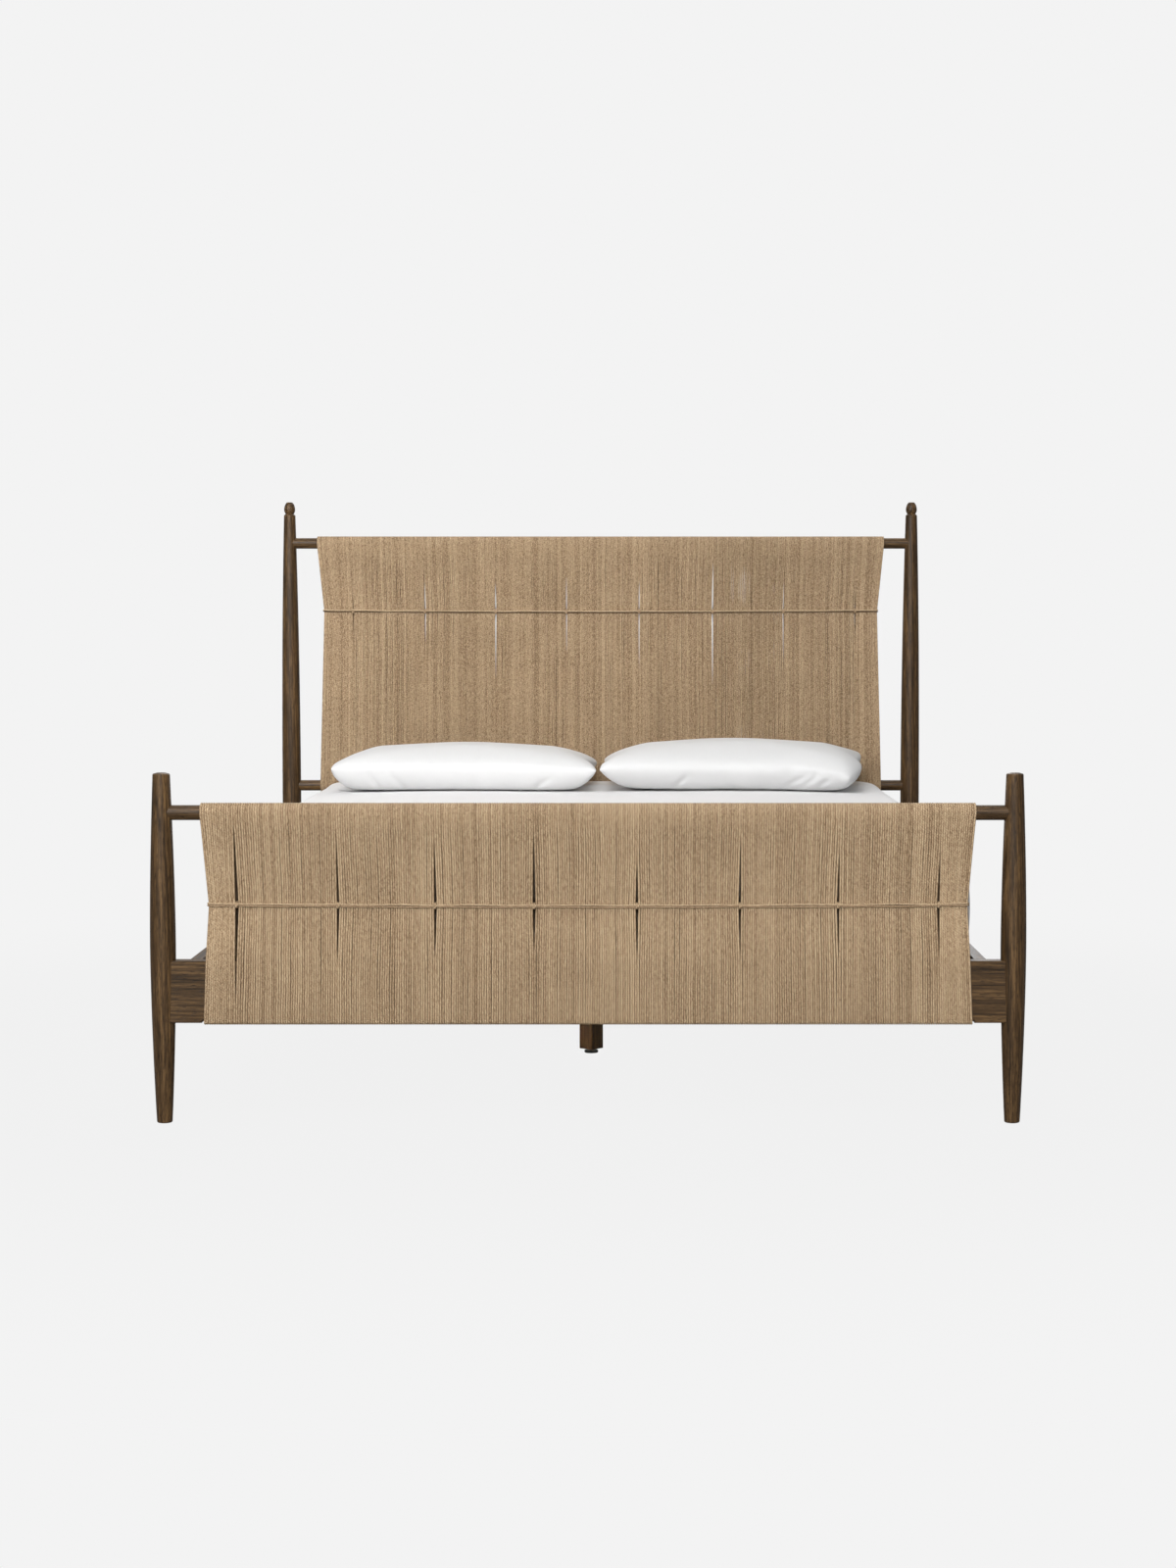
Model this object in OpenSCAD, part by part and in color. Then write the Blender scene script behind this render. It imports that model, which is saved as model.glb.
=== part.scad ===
// A queen-size bed with turned legs. Its headboard and footboard are filled with
// cord wound from bar to bar and gathered at one height by a doubled tie cord.
// Millimetres, +Z up. The origin is on the floor under the middle of the bed.
// +X is to the right seen from the foot, and +Y runs from the foot to the head.

/* [Overall] */
// Width, length and thickness of the mattress that the bed is built round
mattress_w = 1524; // [1370:2:1530]
mattress_l = 2032; // [1900:2:2040]
mattress_h = 272; // [200:2:300]
// Distance from the mattress's side to the leg axes
leg_out = 84; // [80:1:120]
// Distance from the mattress's ends to the planes of footboard and headboard
board_out = 26.5; // [24:0.5:50]

/* [Legs and posts] */
// Height of a footboard leg
foot_leg_h = 700; // [680:5:760]
// Height of a headboard post, finial included
head_post_h = 1320; // [1290:5:1400]
// Diameter where a leg is thickest
swell_d = 51; // [49:1:60]
// Height of the thickest place above the floor
swell_z = 358; // [330:2:400]
// Diameter at the floor
floor_d = 31; // [28:1:40]
// Diameter at the top of a footboard leg
leg_top_d = 34; // [32:1:42]
// Diameter of a post's collar under the finial
collar_d = 31; // [29:1:38]
// Power of the taper below the thickest place
lower_taper = 1.7; // [1.5:0.1:2]
// Power of the taper of a footboard leg above it
leg_taper = 1.65; // [1.5:0.05:2]
// Power of the taper of a headboard post above it
post_taper = 2.6; // [2:0.1:3]
// Rounding of a leg's ends
leg_round = 3; // [2:0.5:5]
// Height of the dome on a footboard leg
leg_dome = 2; // [1:0.5:4]

/* [Finial] */
// Height from the collar to the tip
finial_h = 36; // [34:1:44]
// Diameter of the finial
finial_d = 30; // [28:1:34]
// Height of its widest place below the tip
finial_drop = 20; // [17:1:22]
// Diameter of the neck
neck_d = 22.5; // [20:0.5:25]

/* [Bars] */
// Diameter of the footboard's top bar
foot_bar_d = 30; // [26:1:31]
// Distance from the top of a footboard leg to that bar's axis
foot_bar_drop = 80; // [50:2:120]
// Diameter of the headboard's two bars
head_bar_d = 29; // [26:1:31]
// Distance from the tip of a headboard post to its top bar's axis
head_bar_drop = 111; // [95:1:150]
// Height of the headboard's lower bar at its axis
head_low_z = 549; // [520:1:600]
// Diameter of the tenon at each end of a bar
bar_tenon_d = 18; // [14:1:20]
// Length of that tenon
bar_tenon = 18; // [14:1:22]

/* [Rails] */
// Height of the rails' underside above the floor
rail_z = 202; // [190:2:230]
// Height of the rails
rail_h = 124; // [120:2:140]
// Thickness of the footboard's and headboard's rails
end_rail_t = 34; // [30:1:38]
// Thickness of the side rails
side_rail_t = 26; // [24:1:30]
// Distance from a leg's axis to the outer face of the side rail
side_rail_set = 51; // [46:1:56]
// Bevel on the long edges of the rails
rail_bevel = 1.5; // [1:0.5:3]
// Length, thickness and height of an end rail's tenons
rail_tenon = 20; // [14:1:24]
rail_tenon_t = 14; // [10:1:16]
rail_tenon_h = 84; // [60:2:96]
// How far a shoulder is let into a round leg
shoulder_sink = 0.8; // [0.5:0.1:2]

/* [Cord work] */
// Diameter of the wound cord
cord_d = 4; // [3:0.5:5]
// Distance from a leg's axis to a cord panel's edge at its top, tie and bottom
panel_top_set = 75; // [74:1:90]
panel_tie_set = 89; // [86:1:110]
panel_low_set = 80; // [78:1:95]
// Number of slits in a panel
slit_count = 8; // [4:2:10]
// Width of a panel's two outermost strips at the tie
end_strip_w = 60.5; // [40:0.5:120]
// Widest opening of a slit, at the tie
slit_w = 5; // [4:0.5:8]
// Share of the way from the top bar down at which the footboard is tied
foot_tie_share = 0.626; // [0.4:0.002:0.7]
// The same for the headboard
head_tie_share = 0.28; // [0.2:0.01:0.6]
// Share of the way from the tie up to the bar that a slit stays open
slit_up_share = 0.8; // [0.5:0.05:0.9]
// Share of the way from the tie down, in the footboard and in the headboard
foot_slit_share = 0.9; // [0.5:0.05:0.9]
head_slit_share = 0.2; // [0.1:0.05:0.9]
// Half of the hollow left between a panel's two faces at the tie
waist_in = 5; // [3:0.5:8]
// The same at a panel's two edges
edge_in = 0.6; // [0.5:0.1:2]
// Depth of the recess that holds the cord under the foot rail
cord_recess = 3; // [1:0.5:4]
// Diameter of the doubled tie cord
tie_d = 3.6; // [3:0.2:4]
// Thickness of the lashing at each slit
lash_t = 2.6; // [2:0.2:3]

/* [Slat deck] */
// Distance from the rails' top edge down to the top of the slats
deck_drop = 36; // [20:1:42]
// Number of slats
slat_count = 14; // [10:1:14]
// Width and thickness of a slat
slat_w = 80; // [60:5:90]
slat_t = 18; // [15:1:22]
// Distance from an end rail to the nearest slat
slat_margin = 30; // [20:5:60]
// Width and height of a slat ledge
ledge_w = 25; // [20:1:35]
ledge_h = 24; // [22:1:36]
// Distance from an end rail to a ledge
ledge_end_gap = 8; // [7:1:20]
// Screws in each ledge
ledge_screw_count = 7; // [5:1:10]
// Width and height of the beam under the slats
beam_w = 45; // [40:1:60]
beam_h = 60; // [50:2:70]
// Distance from an end rail to the beam
beam_end_gap = 24; // [15:1:40]

/* [Centre leg] */
// Side of the square leg
centre_leg_w = 38.4; // [34:0.2:44]
// Angle at which its thread stops
centre_leg_turn = 51; // [0:1:89]
// Its place behind the footboard's plane and beside the middle
centre_leg_back = 892; // [850:1:1100]
centre_leg_side = -8; // [-10:1:10]
// Gap between the floor and the leg
centre_leg_lift = 10; // [9:0.5:14]
// Diameter of the bolt that joins the leg to the beam, and its depth in the leg
leg_bolt_d = 8; // [6:1:10]
leg_bolt_in = 45; // [30:1:60]
// Wall of the threaded inserts, and their depth in the beam and in the leg
insert_wall = 3; // [2:0.5:4]
beam_insert_l = 25; // [15:1:35]
leg_insert_l = 18; // [12:1:25]
// Diameter and height of the glide's pad
pad_d = 32; // [28:1:36]
pad_h = 6; // [5:0.5:8]
// Diameter of the glide's stem
stem_d = 8; // [6:1:10]
// Length of the stem above the pad
stem_l = 38; // [30:1:45]

/* [Hardware] */
// Diameter of the hanger bolts at the corners
hanger_d = 8; // [6:1:8]
// Depth of a hanger bolt in an end rail
hanger_in = 24; // [18:1:26]
// Distance from a side rail's end to the middle of its nut pocket
pocket_set = 38; // [34:1:50]
// Diameter of the nut pocket
pocket_d = 30; // [28:1:32]
// Distance from a rail's edges to the bolts
hanger_inset = 30; // [26:1:34]
// Thickness of the half-moon washers
washer_t = 6; // [4:0.5:8]
// Height of the nuts, and their width across flats
nut_h = 6.5; // [5:0.5:8]
nut_flats = 13; // [10:1:14]
// Diameter of the wood screws and of their heads
screw_d = 4.5; // [4:0.5:5]
screw_head_d = 8.6; // [8:0.2:10]
// How far a wood screw reaches into the second piece
screw_bite = 15; // [12:1:16]

/* [Bedding] */
// Rounding of the mattress's upright corners, its top edge and its bottom edge
mattress_corner = 90; // [60:5:120]
mattress_shoulder = 45; // [30:1:60]
mattress_hem = 24; // [15:1:30]
// Rise of its top from the edge to the middle
mattress_crown = 5; // [2:0.5:10]
// How far its sides bulge
mattress_bulge = 6; // [3:0.5:10]
// Width and thickness of a pillow
pillow_w = 470; // [400:2:520]
pillow_h = 128; // [100:2:160]
// Distance from the mattress's sides to the pillows
pillow_side = 61.5; // [20:0.5:100]
// Gap between the two pillows
pillow_gap = 5; // [3:1:20]
// Distance from the mattress's head end to the pillows
pillow_set = 46; // [30:2:80]

/* [Hidden] */
// Radial clearance of glued joints and of screws in their holes
glue_gap = 0.1;
// Radial clearance of the glide's thread
thread_gap = 0.05;
// Gap between soft pieces and what carries them
soft_gap = 0.3;
// Overshoot of cuts
over = 1;

// Sides of the flat-sided arcs of a turned leg and of a cord over a bar
leg_steps = 12;
wrap_steps = 12;

leg_x = mattress_w / 2 + leg_out;
head_y = mattress_l / 2 + board_out;
foot_y = -head_y;
side_x = leg_x - side_rail_set - side_rail_t / 2;
rail_top = rail_z + rail_h;
rail_inner_x = side_x - side_rail_t / 2;
rail_end_y = head_y - end_rail_t / 2;
side_rail_l = 2 * rail_end_y;
foot_bar_z = foot_leg_h - foot_bar_drop;
head_top_z = head_post_h - head_bar_drop;
collar_z = head_post_h - finial_h;
deck_z = rail_top - deck_drop;
slat_z = deck_z - slat_t;
slat_l = 2 * (rail_inner_x - 2);
slat_step = (side_rail_l - 2 * slat_margin - slat_w) / (slat_count - 1);
beam_l = side_rail_l - 2 * beam_end_gap;
beam_z = slat_z - beam_h;
centre_leg_y = foot_y + centre_leg_back;
insert_d = stem_d + 2 * insert_wall;
washer_y = pocket_set - pocket_d / 2 + washer_t;
// The nut pocket's floor, seen from the middle of a side rail's thickness
pocket_floor = nut_flats / 2 + 0.5;

// Cord work: half widths of a panel, heights of the ties, and the ties' routes
panel_top_half = leg_x - panel_top_set;
panel_tie_half = leg_x - panel_tie_set;
panel_low_half = leg_x - panel_low_set;
slit_pitch = 2 * (panel_tie_half - end_strip_w) / (slit_count - 1);
tie_foot_z = foot_bar_z - (foot_bar_z - rail_top) * foot_tie_share;
tie_head_z = head_top_z - (head_top_z - head_low_z) * head_tie_share;
tie_y = waist_in + cord_d + 2 * soft_gap + tie_d / 2;
tie_end_in = 2;
tie_end_r = (norm([tie_end_in, edge_in + cord_d + soft_gap]) + tie_d / 2 + soft_gap) / cos(15);

pillow_l = mattress_w / 2 - pillow_side - pillow_gap / 2;
pillow_x = (pillow_l + pillow_gap) / 2;

WOOD = "#5A4735";
INNER_WOOD = "#C9A877";
CORD = "#A88F71";
TIE = "#AE967A";
STEEL = "#B4B6B8";
BLACK = "#1E1C1B";
LINEN = "#F0F0F0";

// ---- turned legs and posts -------------------------------------------------

// Radius of a leg at height z: two power curves that meet at the thickest place
function leg_r(z, end_z, end_d, taper) = z <= swell_z
    ? (swell_d - (swell_d - floor_d) * pow((swell_z - z) / swell_z, lower_taper)) / 2
    : (swell_d - (swell_d - end_d) * pow((z - swell_z) / (end_z - swell_z), taper)) / 2;
function foot_leg_r(z) = leg_r(z, foot_leg_h, leg_top_d, leg_taper);
function post_r(z) = leg_r(z, collar_z, collar_d, post_taper);

// Distance from a leg's axis to a shoulder of half width half, let into radius r
function seat_of(r, half) = sqrt(r * r - half * half) - shoulder_sink;
foot_bar_seat = seat_of(foot_leg_r(foot_bar_z), foot_bar_d / 2);
head_top_seat = seat_of(post_r(head_top_z), head_bar_d / 2);
head_low_seat = seat_of(post_r(head_low_z), head_bar_d / 2);
rail_seat = seat_of(post_r(rail_z), end_rail_t / 2);

// The rounded foot of a leg
function foot_arc() = [for (a = [0:30:90])
    [floor_d / 2 - leg_round * (1 - sin(a)), leg_round * (1 - cos(a))]];

module foot_leg_turning() {
    top = foot_leg_h - leg_dome;
    rotate_extrude($fn = 96) polygon(concat([[0, 0]], foot_arc(),
        [for (i = [1:leg_steps]) let (z = swell_z * i / leg_steps) [foot_leg_r(z), z]],
        [for (i = [1:leg_steps - 1])
            let (z = swell_z + (top - leg_round - swell_z) * i / (leg_steps - 1))
            [foot_leg_r(z), z]],
        [for (a = [30:30:90])
            [leg_top_d / 2 - leg_round * (1 - cos(a)), top - leg_round * (1 - sin(a))]],
        [[leg_top_d / 4, top + leg_dome * 0.75], [0, foot_leg_h]]));
}

module post_turning() {
    ball_z = head_post_h - finial_drop;
    neck_a = acos(neck_d / finial_d);
    neck_z = collar_z + 5.5;
    below = (ball_z - neck_z) / sin(neck_a);
    above = finial_drop / sin(60);
    rotate_extrude($fn = 96) polygon(concat([[0, 0]], foot_arc(),
        [for (i = [1:leg_steps]) let (z = swell_z * i / leg_steps) [post_r(z), z]],
        [for (i = [1:leg_steps + 4])
            let (z = swell_z + (collar_z - swell_z) * i / (leg_steps + 4)) [post_r(z), z]],
        [[collar_d / 2 - 0.6, collar_z + 1.2], [neck_d / 2 + 1.4, collar_z + 3.4]],
        [for (a = [-neck_a:neck_a / 4:0])
            [finial_d / 2 * cos(a), ball_z + below * sin(a)]],
        [for (a = [12:12:60]) [finial_d / 2 * cos(a), ball_z + above * sin(a)]],
        [[0, head_post_h]]));
}

// A stepped round socket, bored towards -X at height z
module bar_socket(z, bar_d, seat) {
    translate([0, 0, z]) rotate([0, 90, 0]) {
        translate([0, 0, seat]) cylinder(d = bar_d + 2 * glue_gap, h = swell_d, $fn = 64);
        translate([0, 0, seat - bar_tenon - glue_gap])
            cylinder(d = bar_tenon_d + 2 * glue_gap, h = swell_d, $fn = 48);
    }
}

// The housing and mortise for an end rail
module rail_mortise() {
    g = glue_gap;
    translate([rail_seat, -end_rail_t / 2 - g, rail_z - g])
        cube([swell_d, end_rail_t + 2 * g, rail_h + 2 * g]);
    translate([rail_seat - rail_tenon - g, -rail_tenon_t / 2 - g,
               rail_z + (rail_h - rail_tenon_h) / 2 - g])
        cube([swell_d, rail_tenon_t + 2 * g, rail_tenon_h + 2 * g]);
}

// Legs are drawn for the left side, with their joints towards +X
module foot_leg() {
    color(WOOD) difference() {
        foot_leg_turning();
        bar_socket(foot_bar_z, foot_bar_d, foot_bar_seat);
        rail_mortise();
    }
}

module head_post() {
    color(WOOD) difference() {
        post_turning();
        bar_socket(head_top_z, head_bar_d, head_top_seat);
        bar_socket(head_low_z, head_bar_d, head_low_seat);
        rail_mortise();
    }
}

module foot_leg_left() { translate([-leg_x, foot_y, 0]) foot_leg(); }
module foot_leg_right() { mirror([1, 0, 0]) foot_leg_left(); }
module head_post_left() { translate([-leg_x, head_y, 0]) head_post(); }
module head_post_right() { mirror([1, 0, 0]) head_post_left(); }

// ---- bars and end rails ----------------------------------------------------

// A round bar with a tenon at each end, seated in the two legs
module round_bar(y, z, d, seat) {
    half = leg_x - seat - glue_gap;
    color(WOOD) translate([0, y, z]) rotate([0, 90, 0]) {
        cylinder(d = d, h = 2 * half, center = true, $fn = 64);
        cylinder(d = bar_tenon_d, h = 2 * (half + bar_tenon), center = true, $fn = 48);
    }
}

module foot_top_bar() { round_bar(foot_y, foot_bar_z, foot_bar_d, foot_bar_seat); }
module head_top_bar() { round_bar(head_y, head_top_z, head_bar_d, head_top_seat); }
module head_lower_bar() { round_bar(head_y, head_low_z, head_bar_d, head_low_seat); }

// A rectangle w by h with bevelled corners, centred on w and standing on 0
module bevelled(w, h, b) {
    polygon([[-w / 2 + b, 0], [w / 2 - b, 0], [w / 2, b], [w / 2, h - b],
             [w / 2 - b, h], [-w / 2 + b, h], [-w / 2, h - b], [-w / 2, b]]);
}

// The heights of the two hanger bolts at a corner
function hanger_zs() = [rail_z + hanger_inset, rail_top - hanger_inset];

// An end rail along X; its inner face looks towards +Y
module end_rail_body() {
    half = leg_x - rail_seat - glue_gap;
    difference() {
        union() {
            translate([-half, 0, rail_z]) rotate([90, 0, 90])
                linear_extrude(2 * half) bevelled(end_rail_t, rail_h, rail_bevel);
            translate([0, 0, rail_z + rail_h / 2])
                cube([2 * (half + rail_tenon), rail_tenon_t, rail_tenon_h], center = true);
        }
        for (x = [-side_x, side_x], z = hanger_zs())
            translate([x, end_rail_t / 2 - hanger_in - glue_gap, z]) rotate([-90, 0, 0])
                cylinder(d = hanger_d + 2 * glue_gap, h = end_rail_t, $fn = 32);
    }
}

module foot_rail() {
    recess_half = panel_low_half + 2;
    color(WOOD) translate([0, foot_y, 0]) difference() {
        end_rail_body();
        translate([-recess_half, 0, rail_z]) rotate([90, 0, 90])
            linear_extrude(2 * recess_half) difference() {
                translate([-end_rail_t, -over])
                    square([2 * end_rail_t, cord_recess + cord_d + over]);
                translate([0, cord_recess]) bevelled(end_rail_t, rail_h, cord_d);
            }
    }
}

module head_rail() {
    color(WOOD) translate([0, head_y, 0]) mirror([0, 1, 0]) end_rail_body();
}

// ---- side rails, ledges, slats and beam ------------------------------------

// Places of the ledge screws along Y
function ledge_ys() = [for (i = [0:ledge_screw_count - 1])
    (i / (ledge_screw_count - 1) - 0.5) * (side_rail_l - 2 * slat_margin - 2 * slat_w)];
ledge_screw_z = slat_z - ledge_h / 2;
// Places of the slats along Y
function slat_y(i) = -rail_end_y + slat_margin + slat_w / 2 + (i - 1) * slat_step;
ledge_x = rail_inner_x - ledge_w / 2;

// A round hole along X through a ledge, with its countersink towards the middle
module ledge_screw_shape(gap) {
    head_h = (screw_head_d - screw_d) / 2;
    rotate([0, 90, 0]) {
        cylinder(d = screw_d + 2 * gap, h = ledge_w + screw_bite + gap, $fn = 24);
        cylinder(d1 = screw_head_d + 2 * gap, d2 = screw_d + 2 * gap, h = head_h, $fn = 32);
    }
}

module slat_screw_shape(gap) {
    head_h = (screw_head_d - screw_d) / 2;
    rotate([180, 0, 0]) {
        cylinder(d = screw_d + 2 * gap, h = slat_t + screw_bite + gap, $fn = 24);
        cylinder(d1 = screw_head_d + 2 * gap, d2 = screw_d + 2 * gap, h = head_h, $fn = 32);
    }
}

// The nut pocket and the bolt's way at one end of a side rail, which ends at Y 0
module corner_pocket(z) {
    translate([-side_rail_t / 2 - over, pocket_set, z]) rotate([0, 90, 0])
        cylinder(d = pocket_d, h = side_rail_t / 2 + pocket_floor + over, $fn = 48);
    translate([0, -over, z]) rotate([-90, 0, 0])
        cylinder(d = hanger_d + 1, h = pocket_set + over, $fn = 32);
}

// The right side rail; its inner face looks towards -X
module side_rail_right() {
    color(WOOD) translate([side_x, 0, 0]) difference() {
        translate([0, rail_end_y, rail_z]) rotate([90, 0, 0])
            linear_extrude(side_rail_l) bevelled(side_rail_t, rail_h, rail_bevel);
        for (z = hanger_zs(), m = [0, 1])
            mirror([0, m, 0]) translate([0, -rail_end_y, 0]) corner_pocket(z);
        for (y = ledge_ys())
            translate([rail_inner_x - ledge_w - side_x, y, ledge_screw_z])
                ledge_screw_shape(glue_gap);
    }
}
module side_rail_left() { mirror([1, 0, 0]) side_rail_right(); }

module slat_ledge_right() {
    color(INNER_WOOD) difference() {
        translate([rail_inner_x - ledge_w, -rail_end_y + ledge_end_gap, slat_z - ledge_h])
            cube([ledge_w, side_rail_l - 2 * ledge_end_gap, ledge_h]);
        for (y = ledge_ys()) translate([rail_inner_x - ledge_w, y, ledge_screw_z])
            ledge_screw_shape(glue_gap);
        for (i = [1:slat_count]) translate([ledge_x, slat_y(i), deck_z])
            slat_screw_shape(glue_gap);
    }
}
module slat_ledge_left() { mirror([1, 0, 0]) slat_ledge_right(); }

module slat(i) {
    color(INNER_WOOD) difference() {
        translate([-slat_l / 2, slat_y(i) - slat_w / 2, slat_z])
            cube([slat_l, slat_w, slat_t]);
        for (x = [-ledge_x, 0, ledge_x]) translate([x, slat_y(i), deck_z])
            slat_screw_shape(glue_gap);
    }
}

module centre_beam() {
    color(INNER_WOOD) difference() {
        translate([-beam_w / 2, -beam_l / 2, beam_z]) cube([beam_w, beam_l, beam_h]);
        for (i = [1:slat_count]) translate([0, slat_y(i), deck_z])
            slat_screw_shape(glue_gap);
        translate([centre_leg_side, centre_leg_y, beam_z - over])
            cylinder(d = insert_d + 2 * glue_gap, h = beam_insert_l + over, $fn = 32);
    }
}

// ---- centre leg ------------------------------------------------------------

module at_centre_leg() { translate([centre_leg_side, centre_leg_y, 0]) children(); }

module centre_leg() {
    color(WOOD) at_centre_leg() rotate([0, 0, centre_leg_turn]) difference() {
        translate([-centre_leg_w / 2, -centre_leg_w / 2, centre_leg_lift])
            cube([centre_leg_w, centre_leg_w, beam_z - centre_leg_lift]);
        translate([0, 0, beam_z - leg_bolt_in - glue_gap])
            cylinder(d = leg_bolt_d + 2 * glue_gap, h = leg_bolt_in + over, $fn = 32);
        translate([0, 0, centre_leg_lift - over])
            cylinder(d = insert_d + 2 * glue_gap, h = leg_insert_l + over, $fn = 32);
        translate([0, 0, centre_leg_lift])
            cylinder(d = stem_d + 1, h = stem_l + centre_leg_lift, $fn = 32);
    }
}

// A threaded insert standing on height z
module insert_at(z, bore_d, l) {
    at_centre_leg() translate([0, 0, z]) difference() {
        cylinder(d = insert_d, h = l, $fn = 32);
        translate([0, 0, -over]) cylinder(d = bore_d, h = l + 2 * over, $fn = 32);
    }
}

module beam_insert() {
    color(STEEL) insert_at(beam_z, leg_bolt_d + 2 * thread_gap, beam_insert_l - glue_gap);
}
module leg_insert() {
    color(STEEL) insert_at(centre_leg_lift, stem_d + 2 * thread_gap, leg_insert_l - glue_gap);
}
module centre_leg_bolt() {
    color(STEEL) at_centre_leg() translate([0, 0, beam_z - leg_bolt_in])
        cylinder(d = leg_bolt_d, h = leg_bolt_in + beam_insert_l - over, $fn = 32);
}
module levelling_glide() {
    bevel = 1.5;
    color(BLACK) at_centre_leg() {
        rotate_extrude($fn = 48) polygon([[0, 0], [pad_d / 2 - bevel, 0], [pad_d / 2, bevel],
            [pad_d / 2, pad_h - bevel], [pad_d / 2 - bevel, pad_h], [0, pad_h]]);
        translate([0, 0, pad_h - over]) cylinder(d = stem_d, h = stem_l + over, $fn = 32);
    }
}

// ---- corner hardware and screws --------------------------------------------

// Repeats its children at the eight bolts, drawn for a side rail end at Y 0
module at_hangers() {
    for (mx = [0, 1], my = [0, 1], z = hanger_zs())
        mirror([mx, 0, 0]) mirror([0, my, 0]) translate([side_x, -rail_end_y, z]) children();
}

module hanger_bolts() {
    color(STEEL) at_hangers() translate([0, -hanger_in, 0]) rotate([-90, 0, 0])
        cylinder(d = hanger_d, h = hanger_in + washer_y + nut_h + 3, $fn = 32);
}

module half_moon_washers() {
    inset = 1;
    color(STEEL) at_hangers() difference() {
        translate([-side_rail_t / 2 + inset, pocket_set, 0]) rotate([0, 90, 0])
            cylinder(d = pocket_d - 2 * glue_gap,
                     h = side_rail_t / 2 + pocket_floor - 2 * inset, $fn = 48);
        translate([-side_rail_t, washer_y, -pocket_d])
            cube([2 * side_rail_t, pocket_d, 2 * pocket_d]);
        rotate([-90, 0, 0]) cylinder(d = hanger_d + 0.6, h = pocket_set, $fn = 32);
    }
}

module rail_nuts() {
    color(STEEL) at_hangers() translate([0, washer_y + glue_gap, 0]) rotate([-90, 0, 0])
        difference() {
            rotate([0, 0, 30]) cylinder(d = nut_flats / cos(30), h = nut_h, $fn = 6);
            translate([0, 0, -over])
                cylinder(d = hanger_d + 2 * thread_gap, h = nut_h + 2 * over, $fn = 32);
        }
}

module ledge_screws() {
    color(STEEL) for (m = [0, 1], y = ledge_ys()) mirror([m, 0, 0])
        translate([rail_inner_x - ledge_w, y, ledge_screw_z]) ledge_screw_shape(0);
}

module slat_screws() {
    color(STEEL) for (i = [1:slat_count], x = [-ledge_x, 0, ledge_x])
        translate([x, slat_y(i), deck_z]) slat_screw_shape(0);
}

// ---- cord panels -----------------------------------------------------------

// The heights that lay out a panel: the top bar's axis, the tie, the bottom, and the
// upper and lower ends of the slits. clear_z is the lowest that a slit could reach.
function panel_levels(top_z, tie_z, low_z, clear_z, down_share) = [top_z, tie_z, low_z,
    tie_z + slit_up_share * (top_z - tie_z), tie_z - down_share * (tie_z - clear_z)];

// Half width of a panel at height z
function panel_half(z, lv) = z >= lv[0] ? panel_top_half
    : z >= lv[1] ? panel_tie_half
        + (panel_top_half - panel_tie_half) * (z - lv[1]) / (lv[0] - lv[1])
    : panel_tie_half
        + (panel_low_half - panel_tie_half) * (lv[1] - max(z, lv[2])) / (lv[1] - lv[2]);

// Half opening of a slit at height z
function slit_half(z, lv) = let (
        t = z >= lv[1] ? (z - lv[1]) / (lv[3] - lv[1]) : (lv[1] - z) / (lv[1] - lv[4]))
    (soft_gap + (slit_w - soft_gap) * max(0, 1 - t)) / 2;

// A slit's place across the panel: it leans a third as much as the panel's edge
function slit_x(k, half) = (k - (slit_count - 1) / 2) * slit_pitch
    * (1 + (half / panel_tie_half - 1) / 3);

// X of edge k of the strips at height z; edges -1 and slit_count are the panel's own
function strip_edge(k, z, lv) = let (half = panel_half(z, lv))
    k < 0 ? -half : k >= slit_count ? half : slit_x(k, half);

// A station is a cut across a strip: [inner y, inner z, outer y, outer z, at the tie].
// Stations run over the top bar, down the front, round the bottom and up the back.
// side is 1 over a bar and -1 under it.
function round_bar_stations(r, z, side) = [for (i = [0:wrap_steps])
    let (a = 180 * i / wrap_steps, c = side * cos(a), s = side * sin(a))
    [r * c, z + r * s, (r + cord_d) * c, z + (r + cord_d) * s, false]];

// Down the front. top_y is the inner face's distance from the middle plane at the top
// bar's axis, and low_y that at height low_z.
function front_stations(lv, top_y, low_y, low_z) = [
    for (z = [lv[3], (lv[3] + lv[1]) / 2])
        let (y = waist_in + (top_y - waist_in) * (z - lv[1]) / (lv[0] - lv[1]))
        [-y, z, -y - cord_d, z, false],
    [-waist_in, lv[1], -waist_in - cord_d, lv[1], true],
    for (z = [(lv[1] + lv[4]) / 2, lv[4]])
        let (y = waist_in + (low_y - waist_in) * (lv[1] - z) / (lv[1] - low_z))
        [-y, z, -y - cord_d, z, false]];
function back_stations(front) = [for (s = backwards(front)) [-s[0], s[1], -s[2], s[3], s[4]]];
function backwards(list) = [for (i = [len(list) - 1:-1:0]) list[i]];

// A strip of cord: a closed ring of four-sided stations between edges k and k + 1
module cord_strip(k, stations, lv) {
    n = len(stations);
    function pts(s) = let (
            open_l = k < 0 ? 0 : slit_half(s[3], lv),
            open_r = k + 1 >= slit_count ? 0 : slit_half(s[3], lv),
            xl = strip_edge(k, s[3], lv) + open_l,
            xr = strip_edge(k + 1, s[3], lv) - open_r,
            yl = s[4] && k < 0 ? sign(s[0]) * edge_in : s[0],
            yr = s[4] && k + 1 >= slit_count ? sign(s[0]) * edge_in : s[0])
        [[xl, yl, s[1]], [xr, yr, s[1]],
         [xr, yr + s[2] - s[0], s[3]], [xl, yl + s[2] - s[0], s[3]]];
    points = [for (s = stations) each pts(s)];
    faces = [for (i = [0:n - 1], j = [0:3])
        let (a = 4 * i + j, b = 4 * i + (j + 1) % 4,
             c = 4 * ((i + 1) % n) + (j + 1) % 4, d = 4 * ((i + 1) % n) + j)
        each [[a, b, c], [a, c, d]]];
    polyhedron(points, faces, convexity = 6);
}

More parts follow.
